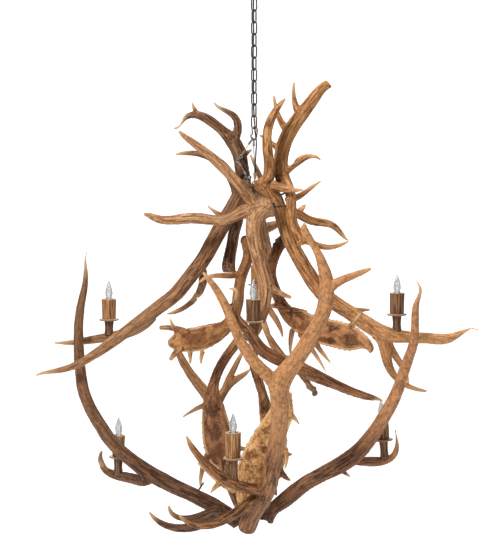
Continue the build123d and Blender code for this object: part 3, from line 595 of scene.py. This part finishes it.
def write_attributes(mesh: bpy.types.Mesh, flow: np.ndarray, values: dict[str, np.ndarray]) -> None:
    """Store what the horn finishes read on a mesh.

    Args:
        mesh: The mesh.
        flow: One vector per point, which the grain follows.
        values: Numbers per point by attribute name.
    """
    for name, numbers in values.items():
        mesh.attributes.new(name, "FLOAT", "POINT").data.foreach_set("value", numbers.astype(np.float32))
    spot = mesh.attributes.new("flow", "FLOAT_VECTOR", "POINT")
    spot.data.foreach_set("vector", flow.astype(np.float32).ravel())


# ---------------------------------------------------------------- antlers
@dataclass(frozen=True)
class Relief:
    """How the surface of an antler is worked.

    Attributes:
        groove: Depth of the grooves along the branches, in metres.
        pebble: Height of the pebbling over its broad faces, in metres.
        bead: Height of the beads round its burr, in metres.
    """
    groove: float = 0.0011
    pebble: float = 0.0005
    bead: float = 0.0022


@dataclass
class Surface:
    """The points of a mesh as arrays, with what is measured on them.

    Attributes:
        points: Positions.
        edges: Pairs of joined points.
        normals: Smoothed normals.
        radius: Local radius of the branch at each point.
    """
    points: np.ndarray
    edges: np.ndarray
    normals: np.ndarray = field(default_factory=lambda: np.zeros((0, 3)))
    radius: np.ndarray = field(default_factory=lambda: np.zeros(0))

    def average(self, values: np.ndarray, rounds: int) -> np.ndarray:
        """Average values with their neighbours.

        Args:
            values: One value or vector per point.
            rounds: How many times.

        Returns:
            The averaged values.
        """
        count = len(self.points)
        first, second = self.edges[:, 0], self.edges[:, 1]
        share = np.bincount(first, minlength=count) + np.bincount(second, minlength=count) + 1e-9
        columns = values.reshape(count, -1)
        for _ in range(rounds):
            total = np.stack([np.bincount(first, column[second], count)
                              + np.bincount(second, column[first], count) for column in columns.T], axis=1)
            columns = 0.5 * columns + 0.5 * total / share[:, None]
        return columns.reshape(values.shape)


class AntlerSculptor:
    """Turns a plain CAD antler into one with grooves, beads, a burr and worn tips."""

    VOXEL = 0.0021
    PINCH_REACH = 0.014
    CRUMB = 60

    def __init__(self, node: str, seed: int, relief: Relief, hub: Vector) -> None:
        """Set up for one antler.

        Args:
            node: Its CAD node.
            seed: Shifts its patterns, so that no two antlers match.
            relief: How its surface is worked.
            hub: The point that its burr is nearest to.
        """
        self.node = node
        self.offset = Vector((seed * 3.7, seed * 1.9, seed * 5.3))
        self.relief = relief
        self.hub = hub

    def remeshed(self) -> bpy.types.Mesh:
        """The CAD antler as one even skin.

        Returns:
            The new mesh.
        """
        shape = bmesh.new()
        shape.from_mesh(frame["nodes"][self.node].data)
        bmesh.ops.remove_doubles(shape, verts=shape.verts, dist=DOUBLE)
        self.close_pinch(shape)
        source = bpy.data.meshes.new("skin_source")
        shape.to_mesh(source)
        shape.free()
        carrier = bpy.data.objects.new("skin_carrier", source)
        bpy.context.scene.collection.objects.link(carrier)
        modifier = carrier.modifiers.new("skin", "REMESH")
        modifier.mode = "VOXEL"
        modifier.voxel_size = self.VOXEL
        evaluated = carrier.evaluated_get(bpy.context.evaluated_depsgraph_get())
        mesh = bpy.data.meshes.new_from_object(evaluated)
        bpy.data.objects.remove(carrier)
        bpy.data.meshes.remove(source)
        self.drop_crumbs(mesh)
        return mesh

    def close_pinch(self, shape: bmesh.types.BMesh) -> None:
        """Lay the hull of its surroundings over a pinched spot, so that the remesh doesn't part there.

        Args:
            shape: The CAD antler's skin, to which the hull is added.
        """
        loose = [edge for edge in shape.edges if len(edge.link_faces) != 2]
        pinched = [vert.co.copy() for edge in loose for vert in edge.verts]
        if not pinched:
            return
        middle = sum(pinched, Vector()) / len(pinched)
        if max((spot - middle).length for spot in pinched) > self.PINCH_REACH:
            return
        hull = bmesh.new()
        for vert in shape.verts:
            if (vert.co - middle).length < self.PINCH_REACH:
                hull.verts.new(vert.co)
        bmesh.ops.convex_hull(hull, input=hull.verts)
        bmesh.ops.delete(hull, geom=[vert for vert in hull.verts if not vert.link_faces], context="VERTS")
        patch = bpy.data.meshes.new("pinch_patch")
        hull.to_mesh(patch)
        hull.free()
        shape.from_mesh(patch)
        bpy.data.meshes.remove(patch)

    def drop_crumbs(self, mesh: bpy.types.Mesh) -> None:
        """Take away the tiny closed bubbles that a remesh leaves inside bores.

        Args:
            mesh: The remeshed skin, changed in place.
        """
        first, second = self.read(mesh).edges.T
        label = np.arange(len(mesh.vertices))
        while True:
            lowest = np.minimum(label[first], label[second])
            merged = label.copy()
            np.minimum.at(merged, first, lowest)
            np.minimum.at(merged, second, lowest)
            merged = merged[merged]
            if (merged == label).all():
                break
            label = merged
        sizes = np.bincount(label, minlength=len(label))[label]
        if sizes.min() >= self.CRUMB:
            return
        shape = bmesh.new()
        shape.from_mesh(mesh)
        crumbs = [vert for vert, size in zip(shape.verts, sizes) if size < self.CRUMB]
        bmesh.ops.delete(shape, geom=crumbs, context="VERTS")
        shape.to_mesh(mesh)
        shape.free()

    @staticmethod
    def read(mesh: bpy.types.Mesh) -> Surface:
        """Read a mesh's points and edges into arrays."""
        points = np.empty(len(mesh.vertices) * 3)
        mesh.vertices.foreach_get("co", points)
        edges = np.empty(len(mesh.edges) * 2, dtype=np.int64)
        mesh.edges.foreach_get("vertices", edges)
        return Surface(points.reshape(-1, 3), edges.reshape(-1, 2))

    @staticmethod
    def relax(surface: Surface) -> None:
        """Take the voxel steps out without shrinking, and soften the forks."""
        for _ in range(8):
            surface.points = surface.average(surface.points, 1)
            surface.points += 0.98 * (surface.points - surface.average(surface.points, 1))
        surface.points = surface.average(surface.points, 2)

    @staticmethod
    def measure(mesh: bpy.types.Mesh, surface: Surface) -> None:
        """Measure the normals and the local radius with rays through the branch."""
        mesh.vertices.foreach_set("co", surface.points.ravel())
        mesh.update()
        normals = np.empty(len(surface.points) * 3)
        mesh.vertices.foreach_get("normal", normals)
        surface.normals = surface.average(normals.reshape(-1, 3), 2)
        surface.normals /= np.linalg.norm(surface.normals, axis=1)[:, None] + 1e-9
        tree = BVHTree.FromPolygons([tuple(point) for point in surface.points],
                                    [tuple(face.vertices) for face in mesh.polygons])
        radius = np.full(len(surface.points), 0.01)
        for index, (point, normal) in enumerate(zip(surface.points, surface.normals)):
            inward = Vector(-normal)
            hit = tree.ray_cast(Vector(point) + inward * 0.0005, inward, 0.09)
            if hit[3] is not None:
                radius[index] = (hit[3] + 0.0005) / 2
        surface.radius = surface.average(np.minimum(radius, 0.026), 12)

    def pattern(self, surface: Surface) -> tuple[np.ndarray, ...]:
        """Work out the relief over the surface.

        Args:
            surface: The measured surface.

        Returns:
            The flow vectors, the relief from 0 to 1, how near the burr and how far from it each point
            is, and how far it moves out.
        """
        ring = surface.average(surface.normals, 6) * surface.radius[:, None]
        flow = ring * 230.0 + surface.points * 24.0 + np.array(self.offset)
        away = np.linalg.norm(surface.points - np.array(self.hub), axis=1)
        nearest = away.min()
        burr = np.clip(1.0 - (away - nearest) / 0.045, 0.0, 1.0)
        reach = np.clip((away - nearest) / 0.5, 0.0, 1.0)
        height = np.empty(len(surface.points))
        push = np.empty(len(surface.points))
        for index, (line, place, radius) in enumerate(zip(flow, surface.points, surface.radius)):
            vector, spot = Vector(line), Vector(place)
            coarse = noise.noise(vector)
            fine = noise.noise(vector * 2.3 + self.offset)
            ridge = 1.0 - abs(coarse * 1.7)
            knots = noise.noise(spot * 190.0 + self.offset)
            swell = noise.noise(spot * 26.0 + self.offset)
            sturdy = min(1.0, radius / 0.014)
            beads = max(0.0, noise.noise(spot * 130.0 - self.offset) + 0.1) * burr[index]
            crown = max(0.0, 1.0 - (away[index] - nearest - 0.006) / 0.014) if burr[index] > 0.6 else 0.0
            height[index] = 0.5 + 0.42 * coarse + 0.24 * fine + 0.1 * knots
            push[index] = (self.relief.groove * sturdy * (0.75 * coarse + 0.35 * fine + 0.25 * (ridge - 0.6))
                           + self.relief.pebble * sturdy * knots + 0.0011 * sturdy * swell
                           + self.relief.bead * beads * 2.2 + 0.0012 * burr[index]
                           + crown * (0.0025 + 0.0095 * max(0.0, noise.noise(spot * 105.0 + self.offset))))
        return flow, np.clip(height, 0.0, 1.0), burr, reach, push

    def build(self) -> bpy.types.Mesh:
        """Make the finished mesh with its attributes.

        Returns:
            The mesh.
        """
        mesh = self.remeshed()
        surface = self.read(mesh)
        self.relax(surface)
        self.measure(mesh, surface)
        flow, height, burr, reach, push = self.pattern(surface)
        surface.points = surface.points + surface.normals * push[:, None]
        mesh.vertices.foreach_set("co", surface.points.ravel())
        mesh.update()
        thin = np.clip((0.0095 - surface.radius) / 0.0065, 0.0, 1.0)
        thin = thin * (1.0 - self.flatness(surface))
        write_attributes(mesh, flow, {"relief": height, "thin": thin, "burr": burr, "reach": reach})
        return mesh

    @staticmethod
    def flatness(surface: Surface) -> np.ndarray:
        """How flat the skin is round each point, from 0 on a round branch to 1 on a palm."""
        spread = surface.average(surface.normals, 30)
        return np.clip((np.linalg.norm(spread, axis=1) - 0.86) / 0.1, 0.0, 1.0)


@dataclass(frozen=True)
class AntlerLook:
    """The finish and relief of one antler by its name."""
    finish: HornFinish
    relief: Relief = Relief()
    lower: bool = False


def horn(name: str, groove: Colour, body: Colour, ridge: Colour, tip: Colour = (0.68, 0.43, 0.21),
         stained: float = 0.5, veined: float = 0.0, rooted: float = 0.45, paled: float = 0.25) -> HornFinish:
    """A finish whose stain is a deeper, redder shade of its body colour."""
    stain = (body[0] * 0.62, body[1] * 0.5, body[2] * 0.42)
    return HornFinish(name, groove, body, ridge, tip, stain, stained, veined, rooted, paled)


SMOOTH = Relief(0.0008, 0.0003, 0.0016)
ROUGH = Relief(0.0014, 0.0007, 0.0028)
PEBBLED = Relief(0.0007, 0.0012, 0.0022)

# The first colour of each finish is the painted shade of its grooves.
ANTLER_LOOKS: dict[str, AntlerLook] = {
    "upper_left_antler": AntlerLook(horn("horn_tan_1", (0.041, 0.015, 0.0041), (0.24, 0.10, 0.04),
                                         (0.55, 0.29, 0.13))),
    "upper_right_antler": AntlerLook(horn("horn_honey", (0.066, 0.021, 0.005), (0.43, 0.18, 0.057),
                                          (0.92, 0.51, 0.22))),
    "upper_front_antler": AntlerLook(horn("horn_tan_2", (0.073, 0.028, 0.0078), (0.48, 0.23, 0.099),
                                          (0.92, 0.57, 0.30))),
    "upper_back_antler": AntlerLook(horn("horn_tan_3", (0.067, 0.026, 0.0075), (0.42, 0.19, 0.079),
                                         (0.80, 0.45, 0.22))),
    "lower_left_antler": AntlerLook(horn("horn_umber_1", (0.014, 0.0049, 0.0018), (0.12, 0.048, 0.021),
                                         (0.35, 0.17, 0.079), rooted=0.6, paled=0.35), ROUGH, True),
    "lower_right_antler": AntlerLook(horn("horn_umber_2", (0.015, 0.0055, 0.002), (0.15, 0.059, 0.023),
                                          (0.50, 0.23, 0.099), rooted=0.65, paled=0.95), ROUGH, True),
    "lower_front_antler": AntlerLook(horn("horn_russet", (0.022, 0.0061, 0.0016), (0.21, 0.08, 0.027),
                                          (0.66, 0.32, 0.13), rooted=0.8, paled=0.6), ROUGH, True),
    "lower_back_antler": AntlerLook(horn("horn_brown", (0.029, 0.0089, 0.0025), (0.20, 0.081, 0.028),
                                         (0.62, 0.31, 0.13), rooted=0.6), Relief(), True),
    "crown_left_antler": AntlerLook(horn("horn_dark", (0.016, 0.0043, 0.0014), (0.16, 0.063, 0.024),
                                         (0.61, 0.34, 0.17)), ROUGH),
    "crown_right_antler": AntlerLook(horn("horn_gold", (0.083, 0.027, 0.0055), (0.44, 0.19, 0.056),
                                          (0.92, 0.52, 0.22))),
    "middle_left_antler": AntlerLook(horn("horn_orange", (0.05, 0.014, 0.0028), (0.29, 0.12, 0.036),
                                          (0.72, 0.36, 0.14), stained=0.7, veined=0.16, paled=0.35), SMOOTH),
    "middle_right_antler": AntlerLook(horn("horn_amber", (0.028, 0.0067, 0.0016), (0.29, 0.11, 0.035),
                                           (0.73, 0.36, 0.15), stained=0.8, veined=0.22), SMOOTH),
    "basket_left_antler": AntlerLook(horn("horn_mottled", (0.036, 0.012, 0.0033), (0.20, 0.077, 0.026),
                                          (0.58, 0.28, 0.13), stained=0.7, veined=0.18), PEBBLED, True),
    "basket_front_antler": AntlerLook(horn("horn_veined", (0.063, 0.017, 0.0029), (0.55, 0.20, 0.056),
                                           (0.92, 0.68, 0.29), stained=0.5, veined=0.5, rooted=0.55),
                                      PEBBLED, True),
    "basket_back_antler": AntlerLook(horn("horn_shaded", (0.026, 0.0065, 0.0013), (0.16, 0.053, 0.014),
                                          (0.75, 0.38, 0.15), stained=0.6, veined=0.2), PEBBLED, True),
    "cross_antler": AntlerLook(horn("horn_tan_4", (0.038, 0.01, 0.0025), (0.28, 0.11, 0.037),
                                    (0.68, 0.35, 0.15)), SMOOTH, True),
}


class Antlers:
    """All sixteen antlers."""

    def build(self) -> None:
        """Make each antler's detailed piece in place of its CAD node."""
        for seed, (node, look) in enumerate(ANTLER_LOOKS.items(), start=1):
            sculptor = AntlerSculptor(node, seed, look.relief, LOWER_HUB if look.lower else UPPER_HUB)
            piece = link_object(f"{node}_carved", sculptor.build(), look.finish.material())
            add_piece(piece, CLUSTER, Slot.ANTLER, node)


# ---------------------------------------------------------------- candle lights
@dataclass(frozen=True)
class LightPlace:
    """Where one candle light stands, read from the CAD.

    Attributes:
        number: 1 to 8.
        place: Matrix with the origin at the middle of the bobeche and Z along the candle.
    """
    number: int
    place: Matrix

    def span(self, points: np.ndarray) -> tuple[float, float, float]:
        """Measure a solid of this light.

        Args:
            points: Its points.

        Returns:
            Its lowest and highest heights along the candle, and its outer radius.
        """
        inverse = np.array(self.place.inverted())
        local = points @ inverse[:3, :3].T + inverse[:3, 3]
        return local[:, 2].min(), local[:, 2].max(), float(np.hypot(local[:, 0], local[:, 1]).max())


def find_lights() -> list[LightPlace]:
    """Find the eight lights from their bobeches and bulbs."""
    discs = [group for group in islands("bobeches")]
    found = []
    for number, name in enumerate(LIGHTS, start=1):
        low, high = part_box(name)
        bulb_centre = (low + high) / 2
        disc = min((Vector((group.min(0) + group.max(0)) / 2) for group in discs),
                   key=lambda centre: (centre - bulb_centre).length)
        found.append(LightPlace(number, frame_matrix(disc, bulb_centre - disc)))
    return found


def nearest(groups: list[np.ndarray], place: Matrix) -> np.ndarray:
    """The solid whose middle is nearest to a light's origin."""
    origin = np.array(place.translation)
    return min(groups, key=lambda group: np.linalg.norm((group.min(0) + group.max(0)) / 2 - origin))


class BarkTube:
    """A length of antler with its bark on, lathed or hollow, for covers and stems."""

    SEGMENTS = 96

    def __init__(self, seed: float, groove: float) -> None:
        """Set up the bark.

        Args:
            seed: Shifts the pattern.
            groove: Depth of its grooves in metres.
        """
        self.offset = Vector((seed * 7.1, seed * 2.3, seed * 4.7))
        self.groove = groove

    def build(self, name: str, profile: Sequence[tuple[float, float]], place: Matrix,
              material: bpy.types.Material) -> bpy.types.Object:
        """Make the tube.

        Args:
            name: The piece's name.
            profile: Radius and height of its outline.
            place: Where it goes.
            material: Its material.

        Returns:
            The object, with the same attributes as a carved antler.
        """
        shape = spun(profile, self.SEGMENTS)
        flows, heights = [], []
        for vert in shape.verts:
            radius = math.hypot(vert.co.x, vert.co.y)
            ring = Vector((vert.co.x, vert.co.y, 0.0))
            flow = ring * 260.0 + Vector((0, 0, vert.co.z * 16.0)) + self.offset
            coarse = noise.noise(flow)
            fine = noise.noise(flow * 2.1 + self.offset)
            swell = noise.noise(ring * 60.0 + Vector((0, 0, vert.co.z * 30.0)) - self.offset)
            push = self.groove * (coarse + 0.4 * fine) + 0.0006 * swell
            if radius > 1e-4:
                vert.co += ring.normalized() * push
            flows.append(flow)
            heights.append(min(1.0, max(0.0, 0.5 + 0.5 * coarse + 0.25 * fine)))
        bmesh.ops.transform(shape, matrix=place, verts=shape.verts)
        mesh = bpy.data.meshes.new(name)
        shape.to_mesh(mesh)
        shape.free()
        blank = np.zeros(len(heights))
        write_attributes(mesh, np.array(flows), {"relief": np.array(heights), "thin": blank, "burr": blank,
                                                 "reach": blank})
        return link_object(name, mesh, material)


def sawn_disc(name: str, radius: float, low: float, high: float, bore: float, seed: float,
              place: Matrix) -> bpy.types.Object:
    """A slice sawn across an antler: cream faces, a brown rind and an outline that isn't quite round.

    Args:
        name: The piece's name.
        radius: Outer radius.
        low: Height of its lower face.
        high: Height of its upper face.
        bore: Radius of its hole.
        seed: Shifts the outline.
        place: Where it goes.

    Returns:
        The new object.
    """
    ease = min(0.0012, (high - low) / 3)
    inner = [(bore + (radius - bore) * share, high) for share in (0.0, 0.35, 0.7, 0.9)]
    edge = [(radius - ease, high), (radius - ease * 0.3, high - ease * 0.3), (radius, high - ease),
            (radius, low + ease), (radius - ease * 0.3, low + ease * 0.3), (radius - ease, low)]
    shape = spun([*inner, *edge, (bore, low), (bore, high)], 96)
    rinds = []
    for vert in shape.verts:
        share = math.hypot(vert.co.x, vert.co.y) / radius
        direction = Vector((vert.co.x, vert.co.y, 0.0)) / max(share * radius, 1e-6)
        wobble = noise.noise(direction * 1.1 + Vector((seed * 5.0, 0, 0))) * 0.0016
        wobble += noise.noise(direction * 5.0 + Vector((seed * 9.0, 0, 0))) * 0.0005
        vert.co += direction * wobble * share ** 3
        rinds.append(max(0.0, share - 0.93) / 0.06)
    bmesh.ops.transform(shape, matrix=place, verts=shape.verts)
    mesh = bpy.data.meshes.new(name)
    shape.to_mesh(mesh)
    shape.free()
    mesh.attributes.new("rind", "FLOAT", "POINT").data.foreach_set("value", np.array(rinds, np.float32))
    return link_object(name, mesh, sawn_antler())


class CandleLights:
    """The eight candle lights: stems, bobeches, covers, sockets and flame bulbs."""

    # The first colour of each bark is the painted shade of its grooves.
    STEM_BARK = horn("horn_stem", (0.05, 0.022, 0.01), (0.17, 0.08, 0.04), (0.34, 0.2, 0.11), stained=0.4,
                     rooted=0.0)
    COVER_BARKS = (horn("horn_cover_tan", (0.09, 0.035, 0.012), (0.43, 0.21, 0.085), (0.68, 0.4, 0.19),
                        rooted=0.0),
                   horn("horn_cover_umber", (0.04, 0.018, 0.008), (0.21, 0.1, 0.043), (0.42, 0.24, 0.13),
                        rooted=0.0))
    TAN_COVERS = (1, 4, 5, 7)
    GLASS_WALL = 0.0007
    NIPPLE_BORE = 0.0048
    COVER_BORE = 0.0122

    def build(self) -> None:
        """Make every piece of each light."""
        covers, stems, discs = islands("candle_covers"), islands("candle_stems"), islands("bobeches")
        for light in find_lights():
            number, place = light.number, light.place
            low, high, radius = light.span(nearest(discs, place))
            disc = sawn_disc(f"bobeche_{number}", radius, low, high, self.NIPPLE_BORE, number, place)
            add_piece(disc, CLUSTER, Slot.CUT_ANTLER, "bobeches")
            self.add_stem(light, nearest(stems, place))
            self.add_cover(light, nearest(covers, place))
            self.add_bulb(light)
        dress_node("sockets", moulded_plastic("socket_shell", (0.75, 0.7, 0.6), 0.5))
        dress_node("light_nipples", BRASS.material())

    def add_stem(self, light: LightPlace, points: np.ndarray) -> None:
        """Make the stem below the bobeche."""
        low, high, radius = light.span(points)
        steps = 22
        side = [(radius * (0.96 + 0.06 * math.cos(math.tau * step / steps)),
                 high - (high - low) * step / steps) for step in range(steps + 1)]
        tube = BarkTube(light.number + 0.5, 0.0008)
        profile = [(0.0, high), *side, (0.0, low)]
        piece = tube.build(f"stem_{light.number}", profile, light.place, self.STEM_BARK.material())
        add_piece(piece, CLUSTER, Slot.BARK_ANTLER, "candle_stems")

    def add_cover(self, light: LightPlace, points: np.ndarray) -> None:
        """Make the candle cover and its sawn rim."""
        low, high, radius = light.span(points)
        bore, steps, rim = self.COVER_BORE, 30, 0.0005
        side = [(radius * (0.94 + 0.06 * step / steps), low + (high - rim - low) * step / steps)
                for step in range(steps + 1)]
        profile = [(bore, low), *side, (bore, high - rim), (bore, low)]
        bark = self.COVER_BARKS[0 if light.number in self.TAN_COVERS else 1].material()
        piece = BarkTube(light.number, 0.0007).build(f"cover_{light.number}", profile, light.place, bark)
        add_piece(piece, CLUSTER, Slot.BARK_ANTLER, "candle_covers")
        cap = sawn_disc(f"cover_rim_{light.number}", radius - 0.0004, high - rim, high, bore,
                        light.number + 3.3, light.place)
        add_piece(cap, CLUSTER, Slot.CUT_ANTLER)

    def add_bulb(self, light: LightPlace) -> None:
        """Make the glass, the threaded base and the filament."""
        node = f"bulb_{light.number}"
        points = np.concatenate(islands(node))
        foot, tip, radius = light.span(points)
        seat = foot + 0.018
        length = tip - seat
        outline = [(0.0056, 0.0), (radius * 0.8, 0.155), (radius, 0.36), (radius * 0.72, 0.63),
                   (0.0028, 0.87), (0.0, 1.0)]
        outer = smooth_profile([(across, seat + up * length) for across, up in outline], 8)
        inner = [(max(across - self.GLASS_WALL, 0.0), height - (0.001 if across < 0.003 else 0.0))
                 for across, height in reversed(outer)]
        shape = spun([*outer, *inner, outer[0]], 40)
        glass = object_from(f"glass_{light.number}", shape, clear_glass(), light.place)
        add_piece(glass, node, Slot.BULB_GLASS, node)
        thread = []
        for step in range(61):
            height = foot + 0.004 + 0.0125 * step / 60
            thread.append((0.0056 + 0.0004 * math.cos(step / 60 * math.tau * 7), height))
        base = [(0.0, foot), (0.0022, foot + 0.0004), (0.0026, foot + 0.001), (0.0052, foot + 0.004), *thread,
                (0.0058, seat), (0.0052, seat + 0.0012), (0.0, seat + 0.0012)]
        cap = object_from(f"base_{light.number}", spun(base, 40), BRASS.material(), light.place)
        add_piece(cap, node, Slot.BRASS)
        self.add_filament(light, node, seat, length)

    @staticmethod
    def add_filament(light: LightPlace, node: str, seat: float, length: float) -> None:
        """Make the glass mount, its two lead wires and the coiled filament."""
        top = seat + length * 0.5
        mount = [(0.0, seat + 0.001), (0.0046, seat + 0.001), (0.0040, seat + 0.007), (0.0021, seat + 0.013),
                 (0.0, seat + 0.0155)]
        shape = spun(smooth_profile(mount, 4), 20)
        piece = object_from(f"mount_{light.number}", shape, milky_glass(), light.place)
        add_piece(piece, node, Slot.BULB_GLASS)
        shape = bmesh.new()
        for side in (-1, 1):
            middle = Matrix.Translation((side * 0.0019, 0, (seat + 0.012 + top) / 2))
            rise = middle @ Matrix.Rotation(0.09 * side, 4, "Y")
            bmesh.ops.create_cone(shape, cap_ends=True, segments=8, radius1=0.00022, radius2=0.00022,
                                  depth=top - seat - 0.012, matrix=rise)
        coil = 48
        for turn in range(coil):
            angle = turn / coil * math.pi
            spot = Matrix.Translation((-0.0022 * math.cos(angle), 0.0003 * math.cos(turn * 2.4),
                                       top + 0.0035 * math.sin(angle)))
            bmesh.ops.create_icosphere(shape, subdivisions=1, radius=0.00024, matrix=spot)
        mesh = bpy.data.meshes.new(f"filament_{light.number}")
        bmesh.ops.transform(shape, matrix=light.place, verts=shape.verts)
        shape.to_mesh(mesh)
        shape.free()
        material = bpy.data.materials.get("tungsten") or glowing_filament()
        add_piece(link_object(f"filament_{light.number}", mesh, material), node, Slot.STEEL)


# ---------------------------------------------------------------- hanging hardware
class Hardware:
    """The ceiling fixing, the chain, the quick link, the slings and the cord."""

    CORD_STEP = 0.005

    def build(self) -> None:
        """Dress the metal nodes and make the cord's lengths."""
        for name in ("canopy", "canopy_loop", "collar_ring", *CHAIN_LINKS):
            dress_node(name, DARK_BRONZE.material())
        for name in ("quick_link", "quick_link_nut", "sling_ferrules", "eye_screws", "sling_cables"):
            dress_node(name, DULL_STEEL.material())
        for name in ("ceiling_crossbar", "lock_nuts", "loop_nipple"):
            dress_node(name, ZINC.material())
        dress_node("joining_screws", BLACKENED_SCREW.material())
        dress_node("ground_screw", GREEN_PAINT.material())
        dress_node("cord_gland", BRASS.material())
        self.add_cord()

    @staticmethod
    def cut(shape: bmesh.types.BMesh, height: float, way: int, clear_outer: bool = False) -> None:
        """Cut a shape level at a height, and clear what is above it (way 1) or below it (way -1)."""
        bmesh.ops.bisect_plane(shape, geom=[*shape.verts, *shape.edges, *shape.faces], dist=1e-7,
                               plane_co=(0, 0, height), plane_no=(0, 0, way), clear_outer=clear_outer)

    def add_cord(self) -> None:
        """Cut the cord halfway between each pair of joints into one length per joint, with level cuts along
        each length.
        """
        joints = sorted((joint for joint in frame["joints"] if not joint["child"].startswith("bulb_")),
                        key=lambda joint: -joint["pos_m"][2])
        heights = [joint["pos_m"][2] for joint in joints]
        low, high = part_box("supply_cord")
        cuts = [high.z + 0.001] + [(a + b) / 2 for a, b in zip(heights, heights[1:])] + [low.z - 0.001]
        material = moulded_plastic("cord_jacket", (0.018, 0.014, 0.012), 0.45)
        for place, joint in enumerate(joints):
            shape = bmesh.new()
            shape.from_mesh(frame["nodes"]["supply_cord"].data)
            bmesh.ops.remove_doubles(shape, verts=shape.verts, dist=DOUBLE)
            self.cut(shape, cuts[place], 1, clear_outer=True)
            self.cut(shape, cuts[place + 1], -1, clear_outer=True)
            height = cuts[place] - self.CORD_STEP
            while height > cuts[place + 1] + 0.002:
                self.cut(shape, height, 1)
                height -= self.CORD_STEP
            piece = object_from(f"cord_{place + 1:02d}", shape, material)
            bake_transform(piece)
            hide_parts("supply_cord")


# ---------------------------------------------------------------- stage
class Studio:
    """The backdrop, the lights and the camera."""

    TARGET = Vector((-0.011, 0.0, -0.8578))
    DISTANCE = 4.5
    ELEVATION = math.radians(5.0)

    def build(self) -> None:
        """Set up the studio."""
        self.add_sweep()
        bpy.context.scene.view_settings.view_transform = "Standard"
        world = bpy.data.worlds.new("studio")
        world.use_nodes = True
        world.node_tree.nodes["Background"].inputs["Color"].default_value = (1.0, 1.0, 1.0, 1.0)
        tree = NodeTree(world.node_tree)
        seen = tree.add("LightPath").outputs["Is Camera Ray"]
        strength = tree.math("ADD", tree.math("MULTIPLY", seen, 0.93), 0.05)
        tree.join(strength, world.node_tree.nodes["Background"].inputs["Strength"])
        bpy.context.scene.world = world
        self.add_light("key", (-2.0, -2.9, 1.9), 0.8, 225.0)
        self.add_light("fill", (2.8, -2.6, 0.3), 1.6, 26.0)
        self.add_light("top", (0.2, 0.4, 1.6), 1.2, 55.0)
        self.add_camera()

    @staticmethod
    def add_sweep() -> None:
        """A pale floor that curves up into a wall, and that can be looked through from outside."""
        shape = bmesh.new()
        floor, wall, bend = -2.1, 4.5, 1.5
        line = [(-9.0, floor), (wall - bend, floor)]
        turns = [step / 12 * math.pi / 2 for step in range(1, 13)]
        line += [(wall - bend + bend * math.sin(turn), floor + bend * (1 - math.cos(turn))) for turn in turns]
        line.append((wall, 5.0))
        verts = [shape.verts.new((-9.0, y, z)) for y, z in line]
        edges = [shape.edges.new(pair) for pair in zip(verts, verts[1:])]
        made = bmesh.ops.extrude_edge_only(shape, edges=edges)
        far_side = [item for item in made["geom"] if isinstance(item, bmesh.types.BMVert)]
        bmesh.ops.translate(shape, verts=far_side, vec=(18, 0, 0))
        shape.normal_update()
        turned = [face for face in shape.faces
                  if face.normal.dot(Studio.TARGET - face.calc_center_median()) < 0]
        bmesh.ops.reverse_faces(shape, faces=turned)
        mesh = bpy.data.meshes.new("studio_sweep")
        shape.to_mesh(mesh)
        shape.free()
        material, tree, shader = new_material("paper_sweep")
        paper = tree.noise(tree.add("TexCoord").outputs["Object"], 3.0)
        tree.join(tree.mix(paper, (0.93, 0.93, 0.93), (0.96, 0.96, 0.955)), shader.inputs["Base Color"])
        shader.inputs["Roughness"].default_value = 0.9
        shader.inputs["Emission Color"].default_value = (1.0, 1.0, 1.0, 1.0)
        shader.inputs["Emission Strength"].default_value = 0.42
        behind = tree.add("NewGeometry").outputs["Backfacing"]
        either = tree.add("MixShader")
        tree.join(behind, either.inputs[0])
        tree.join(shader.outputs[0], either.inputs[1])
        tree.join(tree.add("BsdfTransparent").outputs[0], either.inputs[2])
        tree.join(either.outputs[0], tree.tree.nodes["Material Output"].inputs["Surface"])
        link_object("studio_sweep", mesh, material)

    @staticmethod
    def add_light(name: str, place: tuple[float, float, float], size: float, energy: float) -> None:
        """Add a soft light that faces the object."""
        data = bpy.data.lights.new(name, "AREA")
        data.size = size
        data.energy = energy
        lamp = bpy.data.objects.new(name, data)
        bpy.context.scene.collection.objects.link(lamp)
        lamp.location = place
        lamp.rotation_euler = (Studio.TARGET - Vector(place)).to_track_quat("-Z", "Y").to_euler()

    def add_camera(self) -> None:
        """Add the camera, a little above the object's middle."""
        data = bpy.data.cameras.new("camera")
        data.lens = 107.5
        camera = bpy.data.objects.new("camera", data)
        bpy.context.scene.collection.objects.link(camera)
        back = Vector((0.0, -math.cos(self.ELEVATION), math.sin(self.ELEVATION)))
        camera.location = self.TARGET + back * self.DISTANCE
        camera.rotation_euler = (math.pi / 2 - self.ELEVATION, 0.0, 0.0)
        bpy.context.scene.camera = camera


def build_scene() -> None:
    """Build every piece round the frame."""
    logging.basicConfig(level=logging.WARNING)
    Antlers().build()
    CandleLights().build()
    Hardware().build()
    Studio().build()


if __name__ == "__main__":
    build_scene()
